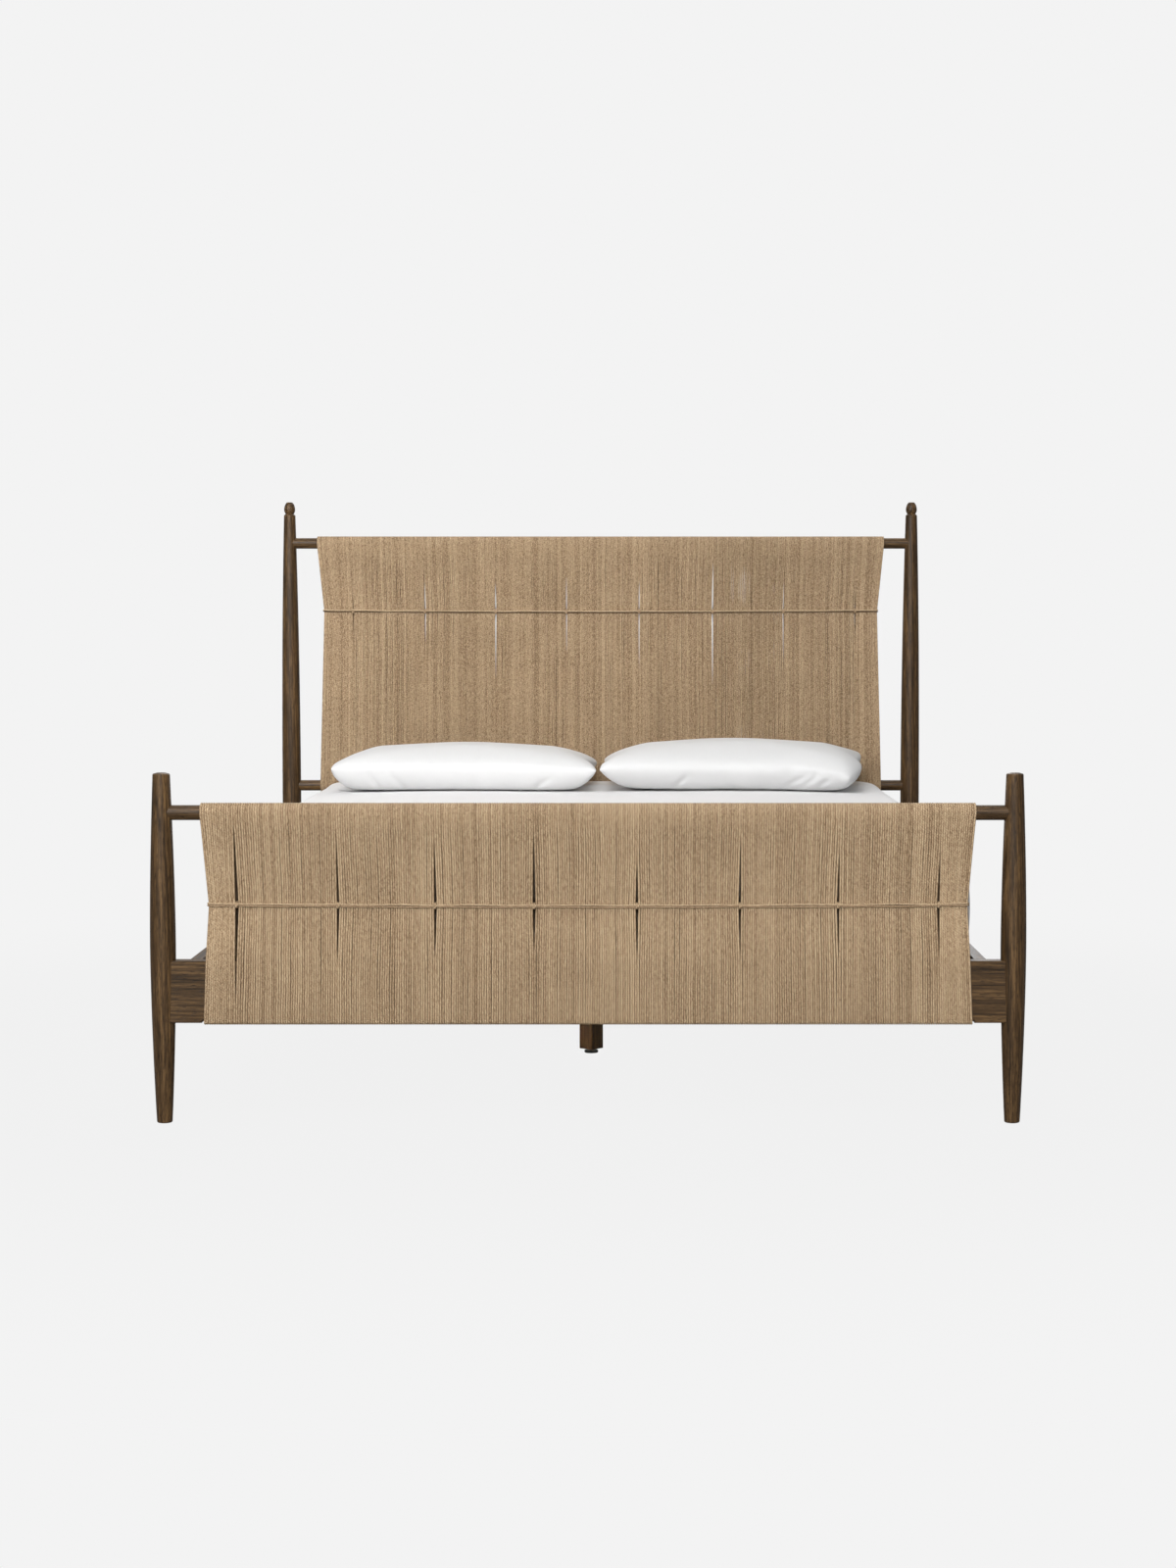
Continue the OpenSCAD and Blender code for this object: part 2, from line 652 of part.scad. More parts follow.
module cord_panel(stations, lv) {
    color(CORD) for (k = [-1:slit_count - 1]) cord_strip(k, stations, lv);
}

// Inner radius that keeps the flat-sided winding clear of a round bar
function wrap_r(d) = (d / 2 + soft_gap) / cos(90 / wrap_steps);

module foot_cord_panel() {
    lv = panel_levels(foot_bar_z, tie_foot_z, rail_z, rail_top, foot_slit_share);
    r = wrap_r(foot_bar_d);
    face = end_rail_t / 2 + soft_gap;
    low = rail_z + cord_recess - soft_gap;
    bend = cord_d + soft_gap / 2;
    mitre = cord_d * tan(45 / 2);
    front = concat(
        front_stations(lv, r, face, rail_top),
        [[-face, rail_top, -face - cord_d, rail_top, false],
         [-face, low + bend, -face - cord_d, low + bend - mitre, false],
         [-face + bend, low, -face + bend - mitre, low - cord_d, false]]);
    translate([0, foot_y, 0]) cord_panel(
        concat(round_bar_stations(r, foot_bar_z, 1), front, back_stations(front)), lv);
}

module head_cord_panel() {
    lv = panel_levels(head_top_z, tie_head_z, head_low_z, head_low_z, head_slit_share);
    r = wrap_r(head_bar_d);
    front = front_stations(lv, r, r, head_low_z);
    translate([0, head_y, 0]) cord_panel(
        concat(round_bar_stations(r, head_top_z, 1), front,
               round_bar_stations(r, head_low_z, -1), back_stations(front)), lv);
}

// ---- tie cords -------------------------------------------------------------

// The tie's way round a panel, seen from above: straight along each face, then
// drawn in over the outermost strip and round the panel's edge
function tie_quarter() = concat(
    [for (k = [slit_count / 2:slit_count - 1]) [slit_x(k, panel_tie_half), -tie_y]],
    [for (a = [-90:30:0])
        [panel_tie_half - tie_end_in + tie_end_r * cos(a), tie_end_r * sin(a)]]);
function tie_route() = let (
        q = tie_quarter(),
        right = concat(q, [for (p = backwards(q)) if (p[1] < -0.01) [p[0], -p[1]]]),
        left = [for (p = right) [-p[0], -p[1]]])
    concat(right, left);

// A closed cord of 8 sides through points in a level plane
module closed_cord(route, d) {
    n = len(route);
    sides = 8;
    function heading(i) = let (a = route[(i + n - 1) % n], b = route[(i + 1) % n])
        (b - a) / norm(b - a);
    points = [for (i = [0:n - 1], j = [0:sides - 1])
        let (h = heading(i), w = d / 2 * cos(360 * j / sides))
        [route[i][0] + h[1] * w, route[i][1] - h[0] * w, d / 2 * sin(360 * j / sides)]];
    faces = [for (i = [0:n - 1], j = [0:sides - 1])
        let (a = sides * i + j, b = sides * i + (j + 1) % sides,
             c = sides * ((i + 1) % n) + (j + 1) % sides, e = sides * ((i + 1) % n) + j)
        each [[a, c, b], [a, e, c]]];
    polyhedron(points, faces, convexity = 4);
}

module tie_cord(y, z) {
    color(TIE) for (side = [-1, 1])
        translate([0, y, z + side * (tie_d / 2 + soft_gap / 4)]) closed_cord(tie_route(), tie_d);
}

// A lashing through a slit, round the doubled cord on both faces, and its knot
module tie_lashing() {
    inner_y = tie_y + tie_d / 2 + soft_gap;
    inner_z = tie_d + soft_gap;
    rotate([90, 0, 90]) linear_extrude(lash_t, center = true) difference() {
        square([2 * (inner_y + lash_t), 2 * (inner_z + lash_t)], center = true);
        square([2 * inner_y, 2 * inner_z], center = true);
    }
    translate([0, -inner_y - lash_t, 0]) sphere(d = 2 * lash_t, $fn = 24);
}

module tie_lashings(y, z) {
    color(TIE) for (k = [0:slit_count - 1])
        translate([slit_x(k, panel_tie_half), y, z]) tie_lashing();
}

module foot_tie_cord() { tie_cord(foot_y, tie_foot_z); }
module head_tie_cord() { tie_cord(head_y, tie_head_z); }
module foot_tie_lashings() { tie_lashings(foot_y, tie_foot_z); }
module head_tie_lashings() { tie_lashings(head_y, tie_head_z); }

// ---- bedding ---------------------------------------------------------------

// Skins a stack of rings that all have n points
module ring_stack(rings, n) {
    m = len(rings);
    points = [for (r = rings) each r];
    faces = concat(
        [for (i = [0:m - 2], j = [0:n - 1])
            let (a = n * i + j, b = n * i + (j + 1) % n,
                 c = n * (i + 1) + (j + 1) % n, d = n * (i + 1) + j)
            each [[a, c, b], [a, d, c]]],
        [for (j = [1:n - 2]) [0, j, j + 1]],
        [for (j = [1:n - 2]) [n * (m - 1), n * (m - 1) + j + 1, n * (m - 1) + j]]);
    polyhedron(points, faces, convexity = 2);
}

// A level rounded rectangle at height z, drawn in from the mattress's outline by inset
function mattress_ring(inset, z) = let (
        a = mattress_w / 2 - inset, b = mattress_l / 2 - inset,
        r = max(mattress_corner - inset, 8))
    [for (q = [0:3], i = [0:6])
        let (t = 90 * q + 15 * i,
             cx = (q == 0 || q == 3 ? 1 : -1) * (a - r), cy = (q < 2 ? 1 : -1) * (b - r))
        [cx + r * cos(t), cy + r * sin(t), z]];

module mattress() {
    low = deck_z + soft_gap;
    top = low + mattress_h;
    side = mattress_bulge;
    h = mattress_hem;
    s = mattress_shoulder;
    color(LINEN) ring_stack(concat(
        [for (a = [0:30:90]) mattress_ring(side + h * (1 - sin(a)), low + h * (1 - cos(a)))],
        [mattress_ring(0, (low + top) / 2)],
        [for (a = [0:18:90])
            mattress_ring(side + s * (1 - cos(a)), top - mattress_crown - s * (1 - sin(a)))],
        [mattress_ring(side + 2.1 * s, top - mattress_crown / 5),
         mattress_ring(side + 3.4 * s, top)]), 28);
}

// A pillow's outline at angle t: square-cornered, with its sides drawn in
function pillow_edge(t, a, b) = let (pinch = 1 - 0.045 * cos(4 * t), c = cos(t), s = sin(t))
    [a * sign(c) * sqrt(abs(c)) * pinch, b * sign(s) * sqrt(abs(s)) * pinch];

module pillow(x) {
    n = 36;
    fit = 0.9617;
    a = pillow_l / 2 / fit;
    b = pillow_w / 2 / fit;
    seam = pillow_h * 0.44;
    base = deck_z + mattress_h + 2 * soft_gap;
    scales = [0.16, 0.34, 0.5, 0.64, 0.76, 0.86, 0.93, 0.98];
    function ring(k, z) = [for (i = [0:n - 1])
        let (e = pillow_edge(360 * i / n, a, b)) [k * e[0], k * e[1], z]];
    translate([x, mattress_l / 2 - pillow_set - pillow_w / 2, base]) color(LINEN)
        ring_stack(concat(
            [for (k = scales) ring(k, seam * (1 - pow(1 - pow(k, 6), 0.5)))],
            [ring(1, seam)],
            [for (i = [len(scales) - 1:-1:0])
                let (k = scales[i]) ring(k, seam + (pillow_h - seam) * pow(1 - pow(k, 2.3), 0.62))],
            [ring(0.04, pillow_h)]), n);
}

module pillow_left() { pillow(-pillow_x); }
module pillow_right() { pillow(pillow_x); }

// ---- what is drawn ---------------------------------------------------------

foot_leg_left();
foot_leg_right();
head_post_left();
head_post_right();
foot_top_bar();
foot_rail();
head_top_bar();
head_lower_bar();
head_rail();
side_rail_left();
side_rail_right();
slat_ledge_left();
slat_ledge_right();
centre_beam();
centre_leg();
centre_leg_bolt();
beam_insert();
leg_insert();
levelling_glide();
hanger_bolts();
half_moon_washers();
rail_nuts();
ledge_screws();
slat_screws();
for (i = [1:slat_count]) slat(i);
foot_cord_panel();
foot_tie_cord();
foot_tie_lashings();
head_cord_panel();
head_tie_cord();
head_tie_lashings();
mattress();
pillow_left();
pillow_right();
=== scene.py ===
"""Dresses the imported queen-size cord bed.

The turned legs, bars, rails, slats and hardware keep the frame's own shapes and get
wood, steel and nylon finishes. The wound cord, its ties and the bedding are built here.
Lengths are metres in the frame's axes: the floor is z = 0, the footboard looks towards
-Y and the headboard stands at +Y.
"""

import logging
import math
from dataclasses import dataclass, field
from enum import Enum

import bmesh
import bpy
import numpy as np
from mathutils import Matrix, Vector, noise


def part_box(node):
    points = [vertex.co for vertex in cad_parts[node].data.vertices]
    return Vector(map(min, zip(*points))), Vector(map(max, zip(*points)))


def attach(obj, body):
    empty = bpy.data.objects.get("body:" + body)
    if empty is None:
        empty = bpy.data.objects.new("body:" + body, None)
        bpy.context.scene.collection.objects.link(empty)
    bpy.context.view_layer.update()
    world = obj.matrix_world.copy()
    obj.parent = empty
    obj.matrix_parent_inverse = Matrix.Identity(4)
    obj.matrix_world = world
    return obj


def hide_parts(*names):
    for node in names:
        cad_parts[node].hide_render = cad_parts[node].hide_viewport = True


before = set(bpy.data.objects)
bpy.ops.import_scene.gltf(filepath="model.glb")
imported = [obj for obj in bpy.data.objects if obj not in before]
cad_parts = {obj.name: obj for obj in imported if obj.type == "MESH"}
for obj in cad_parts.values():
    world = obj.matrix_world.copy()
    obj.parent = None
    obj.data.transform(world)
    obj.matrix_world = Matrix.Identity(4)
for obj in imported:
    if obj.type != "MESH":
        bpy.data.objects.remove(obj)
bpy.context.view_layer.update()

MM = 0.001
TINY = 1e-9  # keeps a division or a direction from failing at 0
WAVE = 6.3  # a little more than one wave, in radians
log = logging.getLogger("cord_bed")


# ---- colours and nodes -------------------------------------------------------


def linear(colour: str) -> tuple[float, float, float, float]:
    """Turns an sRGB hex colour into the linear one that Blender's sockets hold.

    Args:
        colour: the colour as #RRGGBB.

    Returns:
        Linear red, green and blue, and an alpha of 1.
    """
    parts = [int(colour[i : i + 2], 16) / 255 for i in (1, 3, 5)]
    red, green, blue = (
        c / 12.92 if c <= 0.04045 else ((c + 0.055) / 1.055) ** 2.4 for c in parts
    )
    return red, green, blue, 1.0


def empty_tree(owner: bpy.types.Material | bpy.types.World) -> bpy.types.NodeTree:
    """Switches nodes on for a material or world and clears them away.

    Args:
        owner: the material or world.

    Returns:
        Its empty node tree.
    """
    owner.use_nodes = True
    owner.node_tree.nodes.clear()
    return owner.node_tree


def add_node(
    tree: bpy.types.NodeTree, kind: str, inputs: dict | None = None, **settings: object
) -> bpy.types.Node:
    """Adds a shader node with its settings, its fixed inputs and its links.

    Args:
        tree: the material's or world's node tree.
        kind: the node's type name, without its leading ShaderNode.
        inputs: socket name or number to a value, an output socket, or a node, which
            stands for its first output.
        **settings: the node's own properties.

    Returns:
        The new node.
    """
    node = tree.nodes.new("ShaderNode" + kind)
    for name, value in settings.items():
        setattr(node, name, value)
    for key, value in (inputs or {}).items():
        if isinstance(value, bpy.types.Node):
            value = value.outputs[0]
        if isinstance(value, bpy.types.NodeSocket):
            tree.links.new(value, node.inputs[key])
        else:
            node.inputs[key].default_value = value
    return node


def set_ramp(ramp: bpy.types.Node, stops: list[tuple[float, str]]) -> None:
    """Gives a colour ramp its stops.

    Args:
        ramp: a colour ramp node.
        stops: place from 0 to 1 and sRGB hex colour of each stop, in order.
    """
    elements = ramp.color_ramp.elements
    while len(elements) < len(stops):
        elements.new(0.5)
    for element, (place, colour) in zip(elements, stops):
        element.position = place
        element.color = linear(colour)


# ---- finishes ----------------------------------------------------------------

# The numbers of a colour Mix node's sockets, which share their names with others.
MIX_A, MIX_B, MIX_RESULT = 6, 7, 2
RUN_MAP = "cord_run"  # place round a cord from 0 to 1, and metres along it
CLOTH_MAP = "cloth"  # metres along the flat cloth's weft and warp
BAKE_MAP = "OFBake"  # the same surface laid out in one square
# Below 0 this tone is painted shade, and above 1 a painted highlight.
TONE_AND_SHADE = "tone"  # 0 for a dark turn of cord to 1 for a light one


class Grain(Enum):
    """The axis that a piece of wood's grain runs along."""

    ACROSS_BED = 0
    ALONG_BED = 1
    UPRIGHT = 2


class Finish:
    """A real surface, made once as a material and shared by all its pieces."""

    def label(self) -> str:
        """The material's name."""
        return type(self).__name__

    def surface(self, tree: bpy.types.NodeTree) -> dict:
        """Adds the finish's nodes to a tree.

        Args:
            tree: the material's node tree.

        Returns:
            The principled shader's inputs, by their names.
        """
        raise NotImplementedError

    def material(self) -> bpy.types.Material:
        """Builds the finish's material the first time that it is asked for.

        Returns:
            The material, with the finish's own name.
        """
        found = bpy.data.materials.get(self.label())
        if found:
            return found
        made = bpy.data.materials.new(self.label())
        tree = empty_tree(made)
        shader = add_node(tree, "BsdfPrincipled", self.surface(tree))
        add_node(tree, "OutputMaterial", {"Surface": shader})
        return made


@dataclass(frozen=True)
class Wood(Finish):
    """Wood with rings, fibres and pores that all run along one axis.

    Widths are across and along the grain, in millimetres.
    """

    grain: Grain
    ring_mm: float = 7.0
    fibre_mm: tuple[float, float] = (2.6, 80.0)
    figure_mm: tuple[float, float] = (15.0, 240.0)
    pore_mm: tuple[float, float] = (1.1, 18.0)
    dark: str = "#281C0D"
    middle: str = "#483520"
    light: str = "#6D5334"
    pore: str = "#150C04"
    pore_share: float = 0.75
    relief_mm: float = 0.25
    roughness: tuple[float, float] = (0.34, 0.48)
    specular: float = 0.22

    def label(self) -> str:
        """The material's name, with the way its grain runs."""
        return f"{type(self).__name__}_{self.grain.name.lower()}"

    def stretched(self, tree: bpy.types.NodeTree, widths_mm: tuple[float, float]) -> bpy.types.Node:
        """Coordinates in which a feature of these widths measures 1.

        Args:
            tree: the material's node tree.
            widths_mm: the feature's width across and along the grain.

        Returns:
            A mapping node.
        """
        across, along = (1 / (w * MM) for w in widths_mm)
        scale = [across] * 3
        scale[self.grain.value] = along
        place = add_node(tree, "TexCoord")
        return add_node(tree, "Mapping", {"Vector": place.outputs["Object"], "Scale": scale})

    def surface(self, tree: bpy.types.NodeTree) -> dict:
        """Colour, gloss and relief from rings, fibres and pores.

        Args:
            tree: the material's node tree.

        Returns:
            The principled shader's inputs, by their names.
        """
        fibres = add_node(
            tree,
            "TexNoise",
            {"Vector": self.stretched(tree, self.fibre_mm), "Scale": 1.0, "Detail": 4.0,
             "Roughness": 0.62},
        )
        figure = add_node(
            tree,
            "TexNoise",
            {"Vector": self.stretched(tree, self.figure_mm), "Scale": 1.0, "Detail": 2.0,
             "Distortion": 0.4},
        )
        # A wave's bands lie 0.44 units apart along its diagonal, and rings run long.
        ring = self.ring_mm / 0.44
        rings = add_node(
            tree,
            "TexWave",
            {"Vector": self.stretched(tree, (ring, ring * 28)), "Scale": 1.0, "Distortion": 5.0,
             "Detail": 2.0, "Detail Scale": 0.6},
            bands_direction="DIAGONAL",
        )
        mixed = -0.2
        for pattern, share in ((rings, 0.1), (fibres, 0.8), (figure, 0.5)):
            mixed = add_node(
                tree,
                "Math",
                {0: pattern.outputs["Fac"], 1: share, 2: mixed},
                operation="MULTIPLY_ADD",
            )
        tone = add_node(tree, "ValToRGB", {"Fac": mixed})
        set_ramp(tone, [(0.3, self.dark), (0.5, self.middle), (0.72, self.light)])
        specks = add_node(
            tree,
            "TexNoise",
            {"Vector": self.stretched(tree, self.pore_mm), "Scale": 1.0, "Detail": 1.0},
        )
        pores = add_node(tree, "MapRange", {"Value": specks, "From Min": 0.56, "From Max": 0.68})
        depth = add_node(tree, "Math", {0: pores, 1: self.pore_share}, operation="MULTIPLY")
        colour = add_node(
            tree,
            "Mix",
            {"Factor": depth, MIX_A: tone, MIX_B: linear(self.pore)},
            data_type="RGBA",
        )
        low, high = self.roughness
        gloss = add_node(
            tree,
            "MapRange",
            {"Value": fibres, "From Min": 0.3, "From Max": 0.7, "To Min": low, "To Max": high},
        )
        relief = add_node(tree, "Math", {0: fibres, 1: 0.5}, operation="MULTIPLY")
        relief = add_node(tree, "Math", {0: relief, 1: depth}, operation="SUBTRACT")
        bump = add_node(
            tree, "Bump", {"Height": relief, "Strength": 0.45, "Distance": self.relief_mm * MM}
        )
        return {
            "Base Color": colour.outputs[MIX_RESULT],
            "Roughness": gloss,
            "Normal": bump,
            "IOR": 1.5,
            "Specular IOR Level": self.specular,
        }


@dataclass(frozen=True)
class StainedMahogany(Wood):
    """Mahogany, turned or planed, stained a greyed brown and satin lacquered.

    The eye gets short dark pores, a quiet ribbon figure and a broad soft highlight.
    """


@dataclass(frozen=True)
class PlanedPine(Wood):
    """Pine, planed and left bare, as slats and ledges under a mattress are.

    The eye gets pale yellow wood with wide warm rings and hardly any gloss.
    """

    ring_mm: float = 9.0
    dark: str = "#B48A55"
    middle: str = "#CDAA78"
    light: str = "#DDC093"
    pore: str = "#B08850"
    pore_share: float = 0.25
    roughness: tuple[float, float] = (0.55, 0.7)
    specular: float = 0.3


@dataclass(frozen=True)
class TwistedPaperCord(Finish):
    """Kraft paper cord, three plies twisted together and wound dry.

    The valleys between plies run slanting round the cord and are painted darker as shade,
    each turn has its own tone, and the dry paper has no shine. A tone below 0 paints shade
    on cord deep in a slit and on the head's lower tie cord. Real plies repeat every 4 mm;
    they are drawn every 5 mm, because finer ones blur into a flat tone.
    """

    dark: str = "#735B3F"
    middle: str = "#AE9475"
    light: str = "#CFB795"
    # The colour of painted shade, for cord deep in a slit and the head's lower tie cord.
    unlit: str = "#2B2014"
    lay_mm: float = 15.0
    plies: int = 3
    fold_mm: float = 2.6
    streak_mm: tuple[float, float] = (1.8, 7.0)
    stain_mm: float = 1000 / 9
    relief_mm: float = 0.35

    def surface(self, tree: bpy.types.NodeTree) -> dict:
        """Plies from the place round and along the cord, tone from each turn.

        Args:
            tree: the material's node tree.

        Returns:
            The principled shader's inputs, by their names.
        """
        run = add_node(tree, "UVMap", uv_map=RUN_MAP)
        place = add_node(tree, "SeparateXYZ", {0: run})
        around = add_node(
            tree, "Math", {0: place.outputs["X"], 1: float(self.plies)}, operation="MULTIPLY"
        )
        turned = add_node(
            tree,
            "Math",
            {0: place.outputs["Y"], 1: self.plies / (self.lay_mm * MM), 2: around},
            operation="MULTIPLY_ADD",
        )
        # From 0 on a ply's ridge to 1 in the valley beside it
        ply = add_node(tree, "Math", {0: turned}, operation="FRACT")
        off = add_node(tree, "Math", {0: ply, 1: 2.0, 2: -1.0}, operation="MULTIPLY_ADD")
        edge = add_node(tree, "Math", {0: off}, operation="ABSOLUTE")
        valley = add_node(tree, "Math", {0: edge, 1: 2.4}, operation="POWER")
        position = add_node(tree, "TexCoord").outputs["Object"]
        across, along = (1 / (w * MM) for w in self.streak_mm)
        upright = add_node(
            tree, "Mapping", {"Vector": position, "Scale": (across, across, along)}
        )
        folds, streak, stain = (
            add_node(tree, "TexNoise", {"Vector": where, "Scale": scale, "Detail": detail})
            for where, scale, detail in (
                (position, 1 / (self.fold_mm * MM), 2.0),
                (upright, 1.0, 2.0),
                (position, 1 / (self.stain_mm * MM), 3.0),
            )
        )
        turn = add_node(tree, "Attribute", attribute_name=TONE_AND_SHADE, attribute_type="GEOMETRY")
        turn = turn.outputs["Fac"]
        tone = -0.89
        for pattern, share in ((turn, 0.3), (folds, 1.2), (streak, 1.1), (stain, 0.18)):
            tone = add_node(
                tree, "Math", {0: pattern, 1: share, 2: tone}, operation="MULTIPLY_ADD"
            )
        paper = add_node(tree, "ValToRGB", {"Fac": tone})
        set_ramp(paper, [(0.2, self.dark), (0.5, self.middle), (0.8, self.light)])
        # Painted shade: the plies' valleys are darkened towards the dark colour, besides their
        # bump.
        shade = add_node(tree, "Math", {0: valley, 1: 0.75}, operation="MULTIPLY")
        # A tone below 0 is painted shade: cord deep in a slit and the head's lower tie cord are
        # darkened towards the unlit colour.
        deep = add_node(tree, "Math", {0: turn, 1: -1.0}, operation="MULTIPLY", use_clamp=True)
        colour = paper
        for factor, darker in ((shade, self.dark), (deep, self.unlit)):
            colour = add_node(
                tree,
                "Mix",
                {"Factor": factor, MIX_A: colour, MIX_B: linear(darker)},
                data_type="RGBA",
            ).outputs[MIX_RESULT]
        height = add_node(tree, "Math", {0: folds, 1: 0.3}, operation="MULTIPLY")
        height = add_node(tree, "Math", {0: height, 1: valley}, operation="SUBTRACT")
        bump = add_node(
            tree, "Bump", {"Height": height, "Strength": 0.8, "Distance": self.relief_mm * MM}
        )
        gloss = add_node(tree, "MapRange", {"Value": folds, "To Min": 0.62, "To Max": 0.82})
        return {"Base Color": colour, "Roughness": gloss, "Normal": bump, "IOR": 1.45}


@dataclass(frozen=True)
class TieCord(TwistedPaperCord):
    """The finer cord of the ties, of the same kraft paper.

    Its upper cord is painted lighter and its lower one darker, as light and shade, so it reads as a
    fine light line with a darker one under it.
    """

    dark: str = "#7F664A"
    middle: str = "#AE9475"
    light: str = "#D5BD9B"
    lay_mm: float = 10.0
    fold_mm: float = 1.2


@dataclass(frozen=True)
class WovenCotton(Finish):
    """White percale cotton, plain woven and washed.

    The eye gets soft white without gloss, a faint even thread and slight greying
    in clouds. The weave is drawn coarse, because true threads of 0.25 mm are too fine
    to show.
    """

    use: str = "pillowcase"
    thread_mm: float = 1.1
    slub_mm: float = 1000 / 140
    cloud_mm: float = 200.0
    relief_mm: float = 0.12
    white: str = "#DADADA"
    shade: str = "#D0D0D0"

    def label(self) -> str:
        """The material's name, with what the cloth is sewn into."""
        return f"{type(self).__name__}_{self.use}"

    def surface(self, tree: bpy.types.NodeTree) -> dict:
        """Warp and weft from the cloth's own flat coordinates.

        Args:
            tree: the material's node tree.

        Returns:
            The principled shader's inputs, by their names.
        """
        flat = add_node(tree, "UVMap", uv_map=CLOTH_MAP)
        place = add_node(tree, "SeparateXYZ", {0: flat})
        rate = 2 * math.pi / (self.thread_mm * MM)
        threads = []
        for axis in ("X", "Y"):
            angle = add_node(tree, "Math", {0: place.outputs[axis], 1: rate}, operation="MULTIPLY")
            threads.append(add_node(tree, "Math", {0: angle}, operation="SINE"))
        weave = add_node(tree, "Math", {0: threads[0], 1: threads[1]}, operation="MULTIPLY")
        position = add_node(tree, "TexCoord").outputs["Object"]
        slub, cloud = (
            add_node(
                tree,
                "TexNoise",
                {"Vector": position, "Scale": 1 / (width * MM), "Detail": detail},
            )
            for width, detail in ((self.slub_mm, 3.0), (self.cloud_mm, 2.0))
        )
        tone = 0.1
        for pattern, share in ((weave, 0.08), (slub, 0.25), (cloud, 0.3)):
            tone = add_node(
                tree, "Math", {0: pattern, 1: share, 2: tone}, operation="MULTIPLY_ADD"
            )
        colour = add_node(
            tree,
            "Mix",
            {"Factor": tone, MIX_A: linear(self.white), MIX_B: linear(self.shade)},
            data_type="RGBA",
        )
        height = add_node(tree, "Math", {0: weave, 1: 0.5, 2: slub}, operation="MULTIPLY_ADD")
        bump = add_node(
            tree, "Bump", {"Height": height, "Strength": 0.25, "Distance": self.relief_mm * MM}
        )
        gloss = add_node(tree, "MapRange", {"Value": slub, "To Min": 0.82, "To Max": 0.95})
        return {
            "Base Color": colour.outputs[MIX_RESULT],
            "Roughness": gloss,
            "Normal": bump,
            "Sheen Weight": 0.12,
            "Sheen Roughness": 0.5,
        }


@dataclass(frozen=True)
class GrainedFinish(Finish):
    """A hard surface of one material, whose fine grain varies colour, gloss and relief."""

    colours: tuple[str, str]
    grain_mm: float
    detail: float
    roughness: tuple[float, float]
    relief: tuple[float, float]
    fixed: tuple[tuple[str, float], ...]

    def surface(self, tree: bpy.types.NodeTree) -> dict:
        """One fine noise in colour, gloss and relief.

        Args:
            tree: the material's node tree.

        Returns:
            The principled shader's inputs, by their names.
        """
        position = add_node(tree, "TexCoord").outputs["Object"]
        grain = add_node(
            tree,
            "TexNoise",
            {"Vector": position, "Scale": 1 / (self.grain_mm * MM), "Detail": self.detail},
        )
        one, other = (linear(colour) for colour in self.colours)
        colour = add_node(
            tree, "Mix", {"Factor": grain, MIX_A: one, MIX_B: other}, data_type="RGBA"
        )
        low, high = self.roughness
        gloss = add_node(tree, "MapRange", {"Value": grain, "To Min": low, "To Max": high})
        strength, depth_mm = self.relief
        bump = add_node(
            tree, "Bump", {"Height": grain, "Strength": strength, "Distance": depth_mm * MM}
        )
        return {
            "Base Color": colour.outputs[MIX_RESULT],
            "Roughness": gloss,
            "Normal": bump,
            **dict(self.fixed),
        }


@dataclass(frozen=True)
class ZincPlatedSteel(GrainedFinish):
    """Steel fasteners, rolled or pressed and bright zinc plated.

    The eye gets a cool grey metal with soft, slightly cloudy reflections.
    """

    colours: tuple[str, str] = ("#C3C6C9", "#A3A6AA")
    grain_mm: float = 1.2
    detail: float = 3.0
    roughness: tuple[float, float] = (0.28, 0.46)
    relief: tuple[float, float] = (0.2, 0.05)
    fixed: tuple[tuple[str, float], ...] = (("Metallic", 1.0),)


@dataclass(frozen=True)
class MouldedNylon(GrainedFinish):
    """Black polyamide, injection moulded with a fine spark texture.

    The eye gets near-black plastic whose highlight is broken into a fine grain.
    """

    colours: tuple[str, str] = ("#191817", "#2A2827")
    grain_mm: float = 0.6
    detail: float = 2.0
    roughness: tuple[float, float] = (0.42, 0.62)
    relief: tuple[float, float] = (0.4, 0.08)
    fixed: tuple[tuple[str, float], ...] = (("IOR", 1.53),)


# ---- meshes ------------------------------------------------------------------


def in_scene(name: str, data: bpy.types.ID) -> bpy.types.Object:
    """Puts a mesh, a lamp or a camera into the scene.

    Args:
        name: the object's name.
        data: what the object shows.

    Returns:
        The new object.
    """
    thing = bpy.data.objects.new(name, data)
    bpy.context.scene.collection.objects.link(thing)
    return thing


def new_piece(
    name: str, points: np.ndarray, faces: list, maps: dict[str, np.ndarray]
) -> bpy.types.Object:
    """Makes a smooth-shaded mesh object with UV maps.

    Args:
        name: the piece's name.
        points: n by 3 places.
        faces: the corners of each face.
        maps: UV map name to one pair for each face corner.

    Returns:
        The object, linked to the scene.
    """
    mesh = bpy.data.meshes.new(name)
    mesh.from_pydata(points.tolist(), [], [list(map(int, f)) for f in faces])
    for map_name, uv in maps.items():
        layer = mesh.uv_layers.new(name=map_name, do_init=False)
        layer.uv.foreach_set("vector", np.asarray(uv, np.float32).ravel())
    mesh.shade_smooth()
    mesh.validate()
    return in_scene(name, mesh)


def set_tones(piece: bpy.types.Object, tones: np.ndarray) -> None:
    """Stores each point's tone where the cord materials read it: 0 to 1 for the cord's own tone,
    below 0 for painted shade and above 1 for a painted highlight.
    """
    layer = piece.data.attributes.new(TONE_AND_SHADE, "FLOAT", "POINT")
    layer.data.foreach_set("value", np.asarray(tones, np.float32))


def unit(vectors: np.ndarray) -> np.ndarray:
    """The vectors scaled to length 1."""
    return vectors / np.maximum(np.linalg.norm(vectors, axis=-1, keepdims=True), 1e-12)


